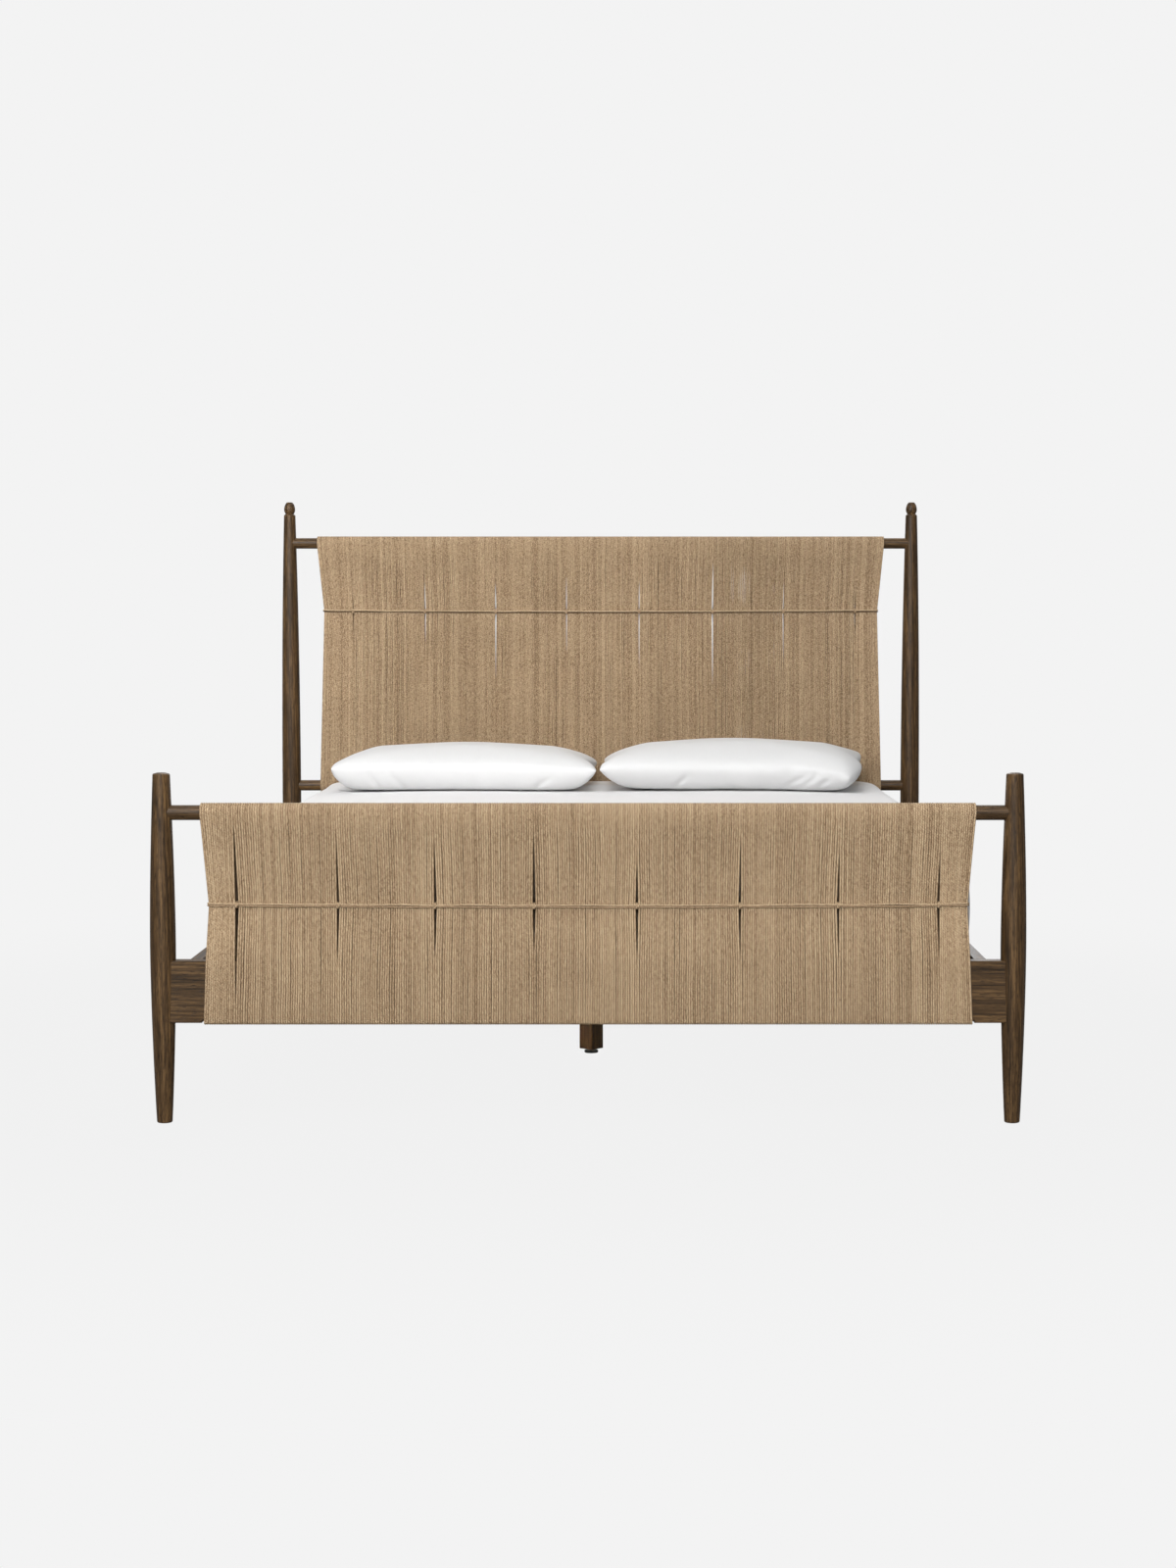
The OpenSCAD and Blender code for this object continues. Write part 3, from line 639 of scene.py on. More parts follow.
def evenly(path: np.ndarray, step: float) -> np.ndarray:
    """A path's points set again at one even distance from each other.

    Args:
        path: n by 3 points.
        step: the wanted distance.

    Returns:
        The new points, with the same two ends.
    """
    run = np.concatenate([[0.0], np.cumsum(np.linalg.norm(np.diff(path, axis=0), axis=1))])
    count = max(2, int(round(run[-1] / step)) + 1)
    at = np.linspace(0, run[-1], count)
    return np.stack([np.interp(at, run, path[:, k]) for k in range(3)], 1)


@dataclass
class Sweep:
    """A round or lobed section carried along a path.

    The bake map lays the cord out in columns side by side, with a margin beside each
    column and at its ends, as shares of the square.
    """

    radius: float
    sides: int = 8
    plies: int = 0
    ply_depth: float = 0.0
    lay: float = 12 * MM
    closed: bool = False
    columns: int = 1
    tip: float = 0.4  # height of an end's cone, as a share of the radius
    side_margin: float = 0.06
    end_margin: float = 0.004

    def column_u(self, column: np.ndarray | int, u: np.ndarray | float) -> np.ndarray | float:
        """Place across the bake map of a place u round the cord, from 0 to 1."""
        return (column + self.side_margin + (1 - 2 * self.side_margin) * u) / self.columns

    def piece(
        self,
        name: str,
        path: np.ndarray,
        up: tuple[float, float, float],
        scale: np.ndarray | None = None,
    ) -> bpy.types.Object:
        """Builds the cord as a mesh.

        Args:
            name: the piece's name.
            path: n by 3 points of its centreline.
            up: a direction that the path never runs along.
            scale: the radius at each point, as a share of the cord's own.

        Returns:
            The cord, with the maps that its materials read and its bake map.
        """
        count = len(path)
        ahead = np.roll(path, -1, 0) - np.roll(path, 1, 0)
        if not self.closed:
            ahead[0], ahead[-1] = path[1] - path[0], path[-1] - path[-2]
        ahead = unit(ahead)
        upward = np.array(up, float)
        side = unit(upward - (ahead @ upward)[:, None] * ahead)
        other = np.cross(ahead, side)
        legs = np.linalg.norm(np.diff(np.vstack([path, path[:1]]), axis=0), axis=1)
        run = np.concatenate([[0.0], np.cumsum(legs)])[: count + 1]
        angle = 2 * math.pi * np.arange(self.sides) / self.sides
        turn = self.plies * (angle[None, :] - 2 * math.pi * run[:count, None] / self.lay)
        reach = self.radius * (1 - self.ply_depth + self.ply_depth * np.cos(turn))
        if scale is not None:
            reach = reach * scale[:, None]
        rings = path[:, None, :] + reach[..., None] * (
            np.cos(angle)[None, :, None] * side[:, None, :]
            + np.sin(angle)[None, :, None] * other[:, None, :]
        )
        spans = count if self.closed else count - 1
        i = np.repeat(np.arange(spans), self.sides)
        j = np.tile(np.arange(self.sides), spans)
        here, there = i * self.sides, ((i + 1) % count) * self.sides
        k = (j + 1) % self.sides
        faces = np.stack([here + j, here + k, there + k, there + j], 1)
        low, high = j / self.sides, (j + 1) / self.sides
        u = np.stack([low, high, high, low], 1)
        v = np.stack([run[i], run[i], run[i + 1], run[i + 1]], 1)
        per_column = -(-spans // self.columns)
        column = i // per_column
        start = run[column * per_column]
        end = run[np.minimum((column + 1) * per_column, spans)]
        bake_u = self.column_u(column[:, None], u)
        bake_v = (v - start[:, None]) / np.maximum(end - start, TINY)[:, None]
        bake_v = self.end_margin + (1 - 2 * self.end_margin) * bake_v
        maps = {RUN_MAP: np.stack([u, v], -1).reshape(-1, 2),
                BAKE_MAP: np.stack([bake_u, bake_v], -1).reshape(-1, 2)}
        points, face_list = rings.reshape(-1, 3), faces.tolist()
        if not self.closed:
            reach = self.tip * self.radius
            tips = [path[0] - reach * ahead[0], path[-1] + reach * ahead[-1]]
            self.cap(face_list, maps, run, count)
            points = np.vstack([points, tips])
        return new_piece(name, points, face_list, maps)

    def cap(self, faces: list, maps: dict[str, np.ndarray], run: np.ndarray, count: int) -> None:
        """Closes both ends with low cones, whose tips come after the rings' points.

        Args:
            faces: the mesh's faces, which the caps are added to.
            maps: its UV maps, which get the caps' corners.
            run: metres along the path.
            count: the number of rings.
        """
        extra: dict[str, list] = {name: [] for name in maps}
        edge, step = self.end_margin / 2, self.end_margin / 4
        ends = ((0, 0, 0, edge), (1, count - 1, self.columns - 1, 1 - edge))
        for tip, ring, column, at_v in ends:
            centre = count * self.sides + tip
            for j in range(self.sides):
                a, b = ring * self.sides + j, ring * self.sides + (j + 1) % self.sides
                faces.append([centre, a, b] if tip else [centre, b, a])
                u = (j + 0.5) / self.sides
                extra[RUN_MAP] += [[u, run[ring]]] * 3
                at = self.column_u(column, u)
                extra[BAKE_MAP] += [[at, at_v], [at + step, at_v], [at, at_v + step]]
        for name, pairs in extra.items():
            maps[name] = np.vstack([maps[name], pairs])


def joined(name: str, parts: list[bpy.types.Object]) -> bpy.types.Object:
    """Joins meshes with the same maps into one piece.

    Args:
        name: the piece's name.
        parts: the objects to join, which are used up.

    Returns:
        The joined object.
    """
    whole = parts[0]
    with bpy.context.temp_override(
        active_object=whole, object=whole, selected_objects=parts, selected_editable_objects=parts
    ):
        bpy.ops.object.join()
    whole.name = whole.data.name = name
    return whole


def fit_out(
    piece: bpy.types.Object, body: str, slot: str, finish: Finish, *stands_for: str
) -> bpy.types.Object:
    """Gives a new piece its finish, its body and the nodes that it stands for.

    Args:
        piece: the new mesh object.
        body: the frame's body that it rides on.
        slot: the record's material slot; it is not used.
        finish: its finish.
        *stands_for: the frame's nodes that it replaces.

    Returns:
        The piece.
    """
    piece.data.materials.clear()
    piece.data.materials.append(finish.material())
    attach(piece, body)
    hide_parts(*stands_for)
    log.info("%s: %d faces, %s, on %s", piece.name, len(piece.data.polygons), finish.label(), body)
    return piece


def dress(node: str, finish: Finish) -> None:
    """Gives one of the frame's own parts its finish, with its shape as it is.

    Args:
        node: the part's node in the frame.
        finish: its finish.
    """
    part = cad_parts[node]
    if not part.material_slots:
        part.data.materials.append(finish.material())
    for material_slot in part.material_slots:
        material_slot.material = finish.material()
    log.info("%s: the frame's own shape, %s", node, finish.label())


# ---- frame of the bed --------------------------------------------------------


@dataclass
class TurnedFrame:
    """The legs, posts, bars and rails, in stained mahogany."""

    upright: tuple[str, ...] = (
        "foot_leg_left", "foot_leg_right", "head_post_left", "head_post_right", "centre_leg",
    )
    across: tuple[str, ...] = (
        "foot_top_bar", "foot_rail", "head_top_bar", "head_lower_bar", "head_rail",
    )
    along: tuple[str, ...] = ("side_rail_left", "side_rail_right")

    def dress(self) -> None:
        """Gives each part wood whose grain runs along it."""
        for names, grain in (
            (self.upright, Grain.UPRIGHT),
            (self.across, Grain.ACROSS_BED),
            (self.along, Grain.ALONG_BED),
        ):
            for name in names:
                dress(name, StainedMahogany(grain))


@dataclass
class SlatDeck:
    """The slats, their ledges and the beam under them, in bare pine."""

    slat_prefix: str = "slat_"
    along: tuple[str, ...] = ("slat_ledge_left", "slat_ledge_right", "centre_beam")

    def dress(self) -> None:
        """Gives each part pine whose grain runs along it."""
        for name in self.along:
            dress(name, PlanedPine(Grain.ALONG_BED))
        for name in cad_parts:
            if name.startswith(self.slat_prefix) and name[len(self.slat_prefix):].isdigit():
                dress(name, PlanedPine(Grain.ACROSS_BED))


@dataclass
class Fittings:
    """Bolts, nuts, washers, screws and the levelling glide."""

    steel: tuple[str, ...] = (
        "hanger_bolts", "half_moon_washers", "rail_nuts", "ledge_screws",
        "slat_screws", "centre_leg_bolt", "beam_insert", "leg_insert",
    )
    nylon: tuple[str, ...] = ("levelling_glide",)

    def dress(self) -> None:
        """Gives the fasteners zinc and the glide black nylon."""
        for name in self.steel:
            dress(name, ZincPlatedSteel())
        for name in self.nylon:
            dress(name, MouldedNylon())


# ---- cord work ---------------------------------------------------------------


class Under(Enum):
    """What a cord panel goes round at its lower end."""

    RAIL = "rail"
    BAR = "bar"


@dataclass
class CordPanel:
    """Cord wound from a top bar round what is below it, in strips between slits.

    The front face looks towards the bed's foot. Slits are numbered from the left, each
    with its place across the bed, how far it opens at the tie, and how far it reaches
    up and down from there.
    """

    label: str
    plane_y: float
    bar_z: float
    bar_r: float
    low_z: float
    under: Under
    tie_z: float
    slit_at: list[float]
    slit_up: list[float]
    slit_down: list[float]
    slit_open: list[float]
    seed: int
    slit_taper: float = 0.75  # below 1, a slit stays wide for most of its length
    rail_top: float = 0.0
    rail_half: float = 17 * MM
    rail_recess: float = 1 * MM
    rail_bend: float = 2.5 * MM  # the inner radius of the cord's bend round the rail's edge
    top_half: float = 771 * MM
    tie_half: float = 753.4 * MM
    low_half: float = 766 * MM
    cord_r: float = 2.2 * MM
    waist: float = 8 * MM  # from the panel's plane to a cord's middle at the tie
    edge_waist: float = 2.2 * MM  # the same at the panel's two edges
    edge_reach: float = 60 * MM  # how far in from an edge the faces draw together
    pitch: float = 4.5 * MM
    bunch: float = 1.6 * MM  # how far every second turn of an outer strip stands out at the tie
    gap_mean: float = 0.35  # a close turn's gap, to be shared out with the others
    gap_show: float = 2.4  # the same for a turn whose gap shows
    gap_share: float = 0.14  # the share of turns whose gap shows
    gap_end: float = 0.02  # the same as gap_mean for the two outermost gaps
    shift: float = 0.9  # how much the gaps change on the way down
    drift_keep: float = 0.65  # how much of a gap's change stays from level to level
    drift_new: float = 0.76  # how much comes new, so that the changes keep their size
    level_gap: float = 24 * MM
    widest: float = 1.0 * MM  # the widest gap between two turns
    widest_bar: float = 0.2 * MM  # the same where they lie on wood
    off_wood: tuple[float, float] = (0.6, 2.0)  # where gaps widen, in winding diameters
    flatten: float = 1.1  # how much wider a turn is where it is pressed flat
    back_slit: float = 0.2  # how far a slit opens at the back, as a share of the front
    pinch: float = 14 * MM  # how far up and down the lashing draws it shut
    inside: float = -0.8  # the tone of painted shade on cord deep in a slit
    tone: float = 0.5
    tone_spread: float = 0.2
    tie_tones: tuple[float, float] = (0.1, 0.8)  # tones of the lower tie cord, darkened as painted shade, and of the upper, lightened as painted light
    loose: dict[int, float] = field(default_factory=dict)  # strip to its wider pitch
    loose_across: tuple[float, float] = (0.14, 0.63)  # the part of its width that is loose
    loose_rim: float = 0.1  # the share of the width over which that fades at its sides
    loose_turn: tuple[float, float] = (0.4, 1.0)  # how loose one of its turns is
    loose_below: float = 60 * MM  # how far below the tie it starts
    loose_above: float = 35 * MM  # how far below the bar's middle it ends
    loose_fade: float = 40 * MM
    loose_lean: float = 0.077  # the slant of the line of sight through its gaps
    gap: float = 0.3 * MM
    wobble: float = 0.06 * MM
    wobble_rate: tuple[float, float] = (14, 40)  # radians in a metre
    proud: tuple[float, float] = (-0.2 * MM, 0.25 * MM)  # how far a turn stands in or out
    body: str = "bed_frame"
    rng: np.random.Generator = field(init=False)
    wrap: float = field(init=False)
    slits: int = field(init=False)

    def __post_init__(self) -> None:
        """Sets the random stream, the winding radius round the bar and the slits' number."""
        self.rng = np.random.default_rng(self.seed)
        self.wrap = self.bar_r + self.gap + self.cord_r
        self.slits = len(self.slit_at)

    def half_at(self, z: np.ndarray) -> np.ndarray:
        """Half the panel's width at height z."""
        return np.interp(
            z, [self.low_z, self.tie_z, self.bar_z], [self.low_half, self.tie_half, self.top_half]
        )

    def slit_x(self, k: int, z: np.ndarray) -> np.ndarray:
        """The middle of slit k at height z; it leans a third as much as the panel's edge."""
        lean = 1 + (self.half_at(z) / self.tie_half - 1) / 3
        return self.slit_at[k] * lean

    def slit_half(self, k: int, z: np.ndarray) -> np.ndarray:
        """Half the opening of a slit in the front face.

        Args:
            k: the slit's number, from the left.
            z: heights.

        Returns:
            The half width at each height, in metres.
        """
        up = np.clip(1 - (z - self.tie_z) / self.slit_up[k], 0, 1)
        down = np.clip(1 - (self.tie_z - z) / self.slit_down[k], 0, 1)
        return self.slit_open[k] / 2 * np.where(z >= self.tie_z, up, down) ** self.slit_taper

    def edges(
        self, strip: int, z: np.ndarray, part: float | np.ndarray = 1.0
    ) -> tuple[np.ndarray, np.ndarray]:
        """Left and right edge of a strip at height z.

        Args:
            strip: the strip's number, from the left.
            z: heights.
            part: how far the slits beside it are open, 1 for the front face.

        Returns:
            The two edges' places across the bed.
        """
        left, right = -self.half_at(z), self.half_at(z)
        if strip:
            left = self.slit_x(strip - 1, z) + part * self.slit_half(strip - 1, z)
        if strip < self.slits:
            right = self.slit_x(strip, z) - part * self.slit_half(strip, z)
        return left, right

    def spread(self, count: int, widths: list[float], widest: np.ndarray) -> np.ndarray:
        """Places of cords side by side, with the small uneven gaps of hand winding.

        Args:
            count: the number of cords.
            widths: the width that they fill at each level.
            widest: the widest gap at each level; what is left over spreads evenly.

        Returns:
            Each cord's middle as a share of the width, one row for each level.
        """
        # Most turns lie close and about one in seven leaves a gap that shows.
        shared = self.rng.exponential(self.gap_mean, count + 1)
        shared += self.gap_show * (self.rng.random(count + 1) < self.gap_share)
        shared[0] = shared[-1] = self.gap_end
        rows, drift = [], self.rng.normal(0.0, self.shift, count + 1)
        for width, most in zip(widths, widest):
            room = max(width - count * 2 * self.cord_r, 0)
            fresh = self.rng.normal(0.0, self.shift, count + 1)
            drift = self.drift_keep * drift + self.drift_new * fresh
            weights = shared * np.exp(drift)
            gaps = np.minimum(room * weights / weights.sum(), most)
            thick = (width - gaps.sum()) / count
            rows.append((np.cumsum(gaps[:-1]) + thick * (np.arange(count) + 0.5)) / width)
        return np.array(rows)

    def slack(self, number: int, levels: np.ndarray, count: int) -> np.ndarray:
        """Where a loose strip lets daylight through, from 0 to 1.

        Args:
            number: the strip's number, from the left.
            levels: heights.
            count: the number of its cords.

        Returns:
            One row for each level and one column for each cord.
        """
        if number not in self.loose:
            return np.zeros((len(levels), count))
        at = (np.arange(count) + 0.5) / count
        low, high = self.loose_across
        across = np.clip(np.minimum(at - low, high - at) / self.loose_rim, 0, 1)
        across *= self.rng.uniform(*self.loose_turn, count)
        rising = np.clip((levels - self.tie_z + self.loose_below) / self.loose_fade, 0, 1)
        falling = np.clip((self.bar_z - self.loose_above - levels) / self.loose_fade, 0, 1)
        return (rising * falling)[:, None] * across

    def steps_to_tie(self, height: float) -> np.ndarray:
        """Shares of the way from the wood to the tie, closer together at both ends."""
        even = np.linspace(0, 1, max(9, int(height / self.level_gap) + 2))[1:]
        return 0.5 * even + 0.25 * (1 - np.cos(math.pi * even))

    def profile(self) -> tuple[np.ndarray, np.ndarray, np.ndarray]:
        """The cord's way up the back, from the middle underneath to the middle on top.

        Returns:
            Distance from the panel's plane, height, and how much of the tie's
            drawing-in reaches there, from 0 to 1.
        """
        tilt = math.atan((self.wrap - self.waist) / (self.bar_z - self.tie_z))
        if self.under is Under.BAR:
            lean = math.atan((self.wrap - self.waist) / (self.tie_z - self.low_z))
            arc = np.linspace(-math.pi / 2, lean, 11)
            y = list(self.wrap * np.cos(arc))
            z = list(self.low_z + self.wrap * np.sin(arc))
        else:
            bend = self.cord_r + self.rail_bend
            face = self.rail_half + self.gap + self.cord_r
            floor = self.low_z + self.rail_recess - self.gap - self.cord_r
            arc = np.linspace(-math.pi / 2, 0, 5)
            y = [0.0, face * 0.4] + list(face - bend + bend * np.cos(arc))
            z = [floor, floor] + list(floor + bend + bend * np.sin(arc))
            for height in np.linspace(floor + bend, self.rail_top, 5)[1:]:
                y.append(face)
                z.append(height)
        low_y, low_z = y[-1], z[-1]
        pull = [0.0] * len(y)
        for share in self.steps_to_tie(self.tie_z - low_z):
            # The cord leaves the wood in a soft curve and reaches the tie in another.
            eased = 0.5 * share + 0.5 * share * share * (3 - 2 * share)
            y.append(low_y + (self.waist - low_y) * eased)
            z.append(low_z + (self.tie_z - low_z) * share)
            pull.append(share)
        arc = np.linspace(-tilt, math.pi / 2, 9)
        top_y, top_z = self.wrap * math.cos(arc[0]), self.bar_z + self.wrap * math.sin(arc[0])
        for share in self.steps_to_tie(top_z - self.tie_z)[-2::-1]:
            y.append(top_y + (self.waist - top_y) * share)
            z.append(top_z + (self.tie_z - top_z) * share)
            pull.append(share)
        y += list(self.wrap * np.cos(arc))
        z += list(self.bar_z + self.wrap * np.sin(arc))
        pull += [0.0] * len(arc)
        return np.array(y), np.array(z), np.array(pull)

    def strip(self, number: int) -> bpy.types.Object:
        """Winds one strip of the panel as one unbroken cord.

        Args:
            number: the strip's number, from the left.

        Returns:
            The strip's mesh.
        """
        y, z, pull = self.profile()
        left, right = self.edges(number, z)
        # The lashing draws the back's slit shut where it passes through.
        back_part = self.back_slit * (1 - np.exp(-(((z - self.tie_z) / self.pinch) ** 2)))
        at_tie = self.edges(number, np.array([self.tie_z]))
        width = float((at_tie[1] - at_tie[0])[0])
        # An outer strip flares, so its turns are counted at the bar and bunch at the tie.
        outer = number in (0, self.slits)
        fullest = float((right - left).max()) if outer else width
        count = int(fullest / self.loose.get(number, self.pitch))
        steps = int((self.bar_z - self.low_z) / self.level_gap)
        levels = np.linspace(self.low_z, self.bar_z, steps)
        near_wood = np.minimum(self.bar_z - levels, np.abs(levels - self.low_z)) / (2 * self.wrap)
        most = np.interp(near_wood, self.off_wood, [self.widest_bar, self.widest])
        rising = np.argsort(z)
        widths = np.interp(levels, z[rising], (right - left)[rising]).tolist()
        front = self.spread(count, widths, most)
        # The back is wound tight, so the front's gaps show dark cord and no daylight.
        back = np.tile((np.arange(count) + 0.5) / count, (len(levels), 1))
        slack = self.slack(number, levels, count)
        front = front + (back - front) * slack
        shares = {"back": back, "front": front}
        tones = np.clip(self.rng.normal(self.tone, self.tone_spread, count), 0, 1)
        turns, tone_runs, thick = [], [], []
        # A turn is a little flattened on the back and where it bends over the bar.
        over_bar = np.clip((z - self.bar_z + 2 * self.wrap) / self.wrap, 0, 1)
        narrow = 1 + (self.flatten - 1) * over_bar
        half_run = len(z)
        hidden = [np.zeros(half_run), np.zeros(half_run)]
        for side, slit in ((0, number - 1), (1, number)):
            if 0 <= slit < self.slits:
                hidden[side] = self.slit_half(slit, z) / (self.slit_open[slit] / 2)
        for j in range(count):
            tight = 1 - np.interp(z, levels, slack[:, j])
            wide = 1 + (self.flatten - 1) * np.maximum(over_bar, (y > self.waist / 2) * tight)
            lines = {}
            for side, share in shares.items():
                f = np.interp(z, levels, share[:, j])
                waves = z * self.rng.uniform(*self.wobble_rate) + self.rng.uniform(0, WAVE)
                wobble = self.wobble * np.sin(waves)
                start, end = self.edges(number, z, back_part) if side == "back" else (left, right)
                lines[side] = start + (end - start) * f + wobble
            # The gaps of both faces line up as they are seen from the bed's foot.
            lines["back"] += (1 - tight) * self.loose_lean * y
            after = shares["back"][0, j + 1] if j + 1 < count else 1.0
            before = shares["front"][0, j - 1] if j else 0.0
            last = left[0] + (right[0] - left[0]) * after
            first = left[0] + (right[0] - left[0]) * before
            back, front = lines["back"], lines["front"]
            # Over the bar and underneath, the cord crosses from one face's place to the other's.
            over = np.clip((z - self.bar_z) / self.wrap, 0, 1) / 2
            flat = np.clip(1 - y / y[: half_run // 3].max(), 0, 1) / 2
            flat = flat * (z < self.low_z + 2 * self.wrap)
            back, front = (
                back + (front - back) * over + (first - back) * flat,
                front + (back - front) * over + (last - front) * flat,
            )
            drawn = np.clip(1 - (self.tie_half - np.abs(back)) / self.edge_reach, 0, 1)
            proud = self.rng.uniform(*self.proud)
            depth = y - pull * drawn * (self.waist - self.edge_waist)
            depth = depth + proud * (pull < 0.95) * (y > 0)
            depth = depth + pull * outer * (j % 2) * self.bunch
            up = np.stack([back, depth, z], 1)
            down = np.stack([front, -depth, z], 1)[::-1]
            turns.append(np.vstack([up, down[1:-1]] if j + 1 < count else [up, down[1:]]))
            # Painted shade: the edge turns beside a slit darken towards the inside tone, the more
            # the slit opens there.
            shade = hidden[0] * (j == 0) + hidden[1] * (j == count - 1)
            shaded = tones[j] + (self.inside - tones[j]) * np.clip(shade, 0, 1) ** 0.5
            tone_runs.append(np.concatenate([shaded, np.full(len(turns[-1]) - half_run, tones[j])]))
            thick.append(np.concatenate([wide, narrow[::-1][1 : 1 + len(turns[-1]) - len(wide)]]))
        path = np.vstack(turns) + np.array([0.0, self.plane_y, 0.0])
        strip = Sweep(self.cord_r, sides=8, columns=count)
        name = f"{self.label}_cord_strip_{number + 1}"
        piece = strip.piece(name, path, (1.0, 0.0, 0.0), np.concatenate(thick))
        tone = np.repeat(np.concatenate(tone_runs), strip.sides)
        set_tones(piece, np.concatenate([tone, [tones[0], tones[-1]]]))
        return piece

    def build(self) -> None:
        """Winds and dresses all the strips."""
        node = f"{self.label}_cord_panel"
        for number in range(self.slits + 1):
            fit_out(self.strip(number), self.body, "cord", TwistedPaperCord(), node)


@dataclass
class TieWork:
    """The doubled cord across both faces of a panel, with a lashing at each slit."""

    panel: CordPanel
    tie_r: float = 1.8 * MM
    lash_r: float = 1.25 * MM
    turn_in: float = 5.3 * MM
    turn_r: float = 7.6 * MM
    lift: float = 0.25 * MM  # how far the tie's cord lies off the cords under it
    sag: float = 3 * MM
    sag_mean: float = 0.45  # the share of the sag that lies below the tie's height
    apart: float = 0.2 * MM  # between the two tie cords' surfaces
    points: int = 700  # across the panel, before they are spread evenly
    step: float = 1.2 * MM
    waves: int = 4
    wave_h: tuple[float, float] = (0.1 * MM, 0.3 * MM)
    wave_rate: tuple[float, float] = (12, 60)  # radians in a metre
    corner: float = 3 * MM
    slant: float = 0.4 * MM
    lash_gap: float = 0.3 * MM
    lash_apart: float = 1.02  # between two turns' middles, in diameters
    lash_step: float = 1.0 * MM
    knot_w: float = 1.45 * MM
    knot_off: float = 0.6 * MM  # from the turns' surface to the knot's middle
    lash_tones: tuple[float, float] = (0.6, 0.9)

    def face_y(self, x: np.ndarray) -> np.ndarray:
        """The tie's distance from the panel's plane, which is less near the panel's edges.

        Args:
            x: places across the bed.

        Returns:
            The distance at each place, in metres.
        """
        p = self.panel
        inner = p.tie_half - p.edge_reach
        on_cord = p.waist + p.cord_r + self.tie_r + self.lift
        outer = p.tie_half - self.turn_in
        return np.interp(np.abs(x), [inner, outer], [on_cord, self.turn_r])

    def height(self, x: np.ndarray) -> np.ndarray:
        """The height of the two cords' middle, a little higher at the panel's edges."""
        share = (np.abs(x) / self.panel.tie_half) ** 2 - self.sag_mean
        return self.panel.tie_z + self.sag * share

    def loop(self, place: float, rng: np.random.Generator) -> np.ndarray:
        """One of the two cords, round the whole panel.

        Args:
            place: -1 for the lower cord and 1 for the upper.
            rng: the random stream of its small waves.

        Returns:
            The points of the closed loop.
        """
        end = self.panel.tie_half - self.turn_in
        x = np.linspace(-end, end, self.points)
        front = np.stack([x, -self.face_y(x)], 1)
        arc = np.linspace(-math.pi / 2, math.pi / 2, 13)[1:-1]
        right = np.stack([end + self.turn_r * np.cos(arc), self.turn_r * np.sin(arc)], 1)
        way = np.vstack([front, right, -front, -right, front[:1]])
        waves = sum(
            rng.uniform(*self.wave_h)
            * np.sin(way[:, 0] * rng.uniform(*self.wave_rate) + rng.uniform(0, WAVE))
            for _ in range(self.waves)
        )
        z = self.height(way[:, 0]) + place * (self.tie_r + self.apart / 2) + waves
        path = np.stack([way[:, 0], way[:, 1] + self.panel.plane_y, z], 1)
        path[-1] = path[0]
        return evenly(path, self.step)[:-1]

    def lashing(self, x: float, rng: np.random.Generator) -> list[bpy.types.Object]:
        """Two turns of fine cord through a slit, round the ties on both faces.

        Args:
            x: the slit's place.
            rng: the random stream of its slant.

        Returns:
            The turns and the knot.
        """
        y0 = float(self.face_y(np.array([x]))[0]) + self.tie_r + self.lash_r
        z0 = 2 * self.tie_r + self.lash_r + self.lash_gap
        middle = np.array([x, self.panel.plane_y, float(self.height(np.array([x]))[0])])
        flat_y, flat_z = y0 - self.corner, z0 - self.corner
        parts = []
        for side in (-1, 1):
            ring = []
            for cy, cz, start in ((1, -1, -90), (1, 1, 0), (-1, 1, 90), (-1, -1, 180)):
                for a in np.radians(np.linspace(start, start + 90, 7)):
                    bend_y, bend_z = self.corner * math.cos(a), self.corner * math.sin(a)
                    ring.append([0.0, cy * flat_y + bend_y, cz * flat_z + bend_z])
            ring = np.array(ring + ring[:1])
            slant = rng.uniform(-self.slant, self.slant)
            ring[:, 0] = side * (self.lash_r * self.lash_apart) + slant * np.sign(ring[:, 1])
            path = evenly(ring + middle, self.lash_step)[:-1]
            turn = Sweep(self.lash_r, sides=9, plies=3, ply_depth=0.1, lay=7 * MM, closed=True)
            parts.append(turn.piece("turn", path, (1.0, 0.0, 0.0)))
        # The knot is a trefoil, a little narrower and flatter than a round one.
        t = np.linspace(0, 2 * math.pi, 61)[:-1]
        shape = np.stack([0.8 * (np.sin(t) + 2 * np.sin(2 * t)), -0.9 * np.sin(3 * t),
                          0.95 * (np.cos(t) - 2 * np.cos(2 * t))], 1)
        front = middle + np.array([0.0, -y0 - self.lash_r - self.knot_off, 0.0])
        knot = Sweep(self.lash_r, closed=True)
        parts.append(knot.piece("knot", self.knot_w * shape + front, (0.1, 1.0, 0.05)))
        return parts

    def build(self) -> None:
        """Makes the tie cords and the lashings, and dresses them."""
        p = self.panel
        rng = np.random.default_rng(p.seed + 100)
        sweep = Sweep(
            self.tie_r, sides=12, plies=3, ply_depth=0.09, lay=11 * MM, closed=True, columns=14
        )
        # The lower cord's tone is painted shade and the upper cord's tone a painted highlight.
        for place, word, tone in zip((-1, 1), ("lower", "upper"), p.tie_tones):
            cord = sweep.piece(f"{p.label}_tie_{word}", self.loop(place, rng), (0.0, 0.0, 1.0))
            set_tones(cord, np.full(len(cord.data.vertices), tone))
            fit_out(cord, p.body, "tie_cord", TieCord(), f"{p.label}_tie_cord")
        parts = []
        for k in range(p.slits):
            parts += self.lashing(float(p.slit_x(k, np.array([p.tie_z]))[0]), rng)
        for part in parts:
            set_tones(part, np.full(len(part.data.vertices), rng.uniform(*self.lash_tones)))
        lashings = joined(f"{p.label}_lashings", parts)
        fit_out(lashings, p.body, "tie_cord", TieCord(), f"{p.label}_tie_lashings")


# ---- bedding -----------------------------------------------------------------


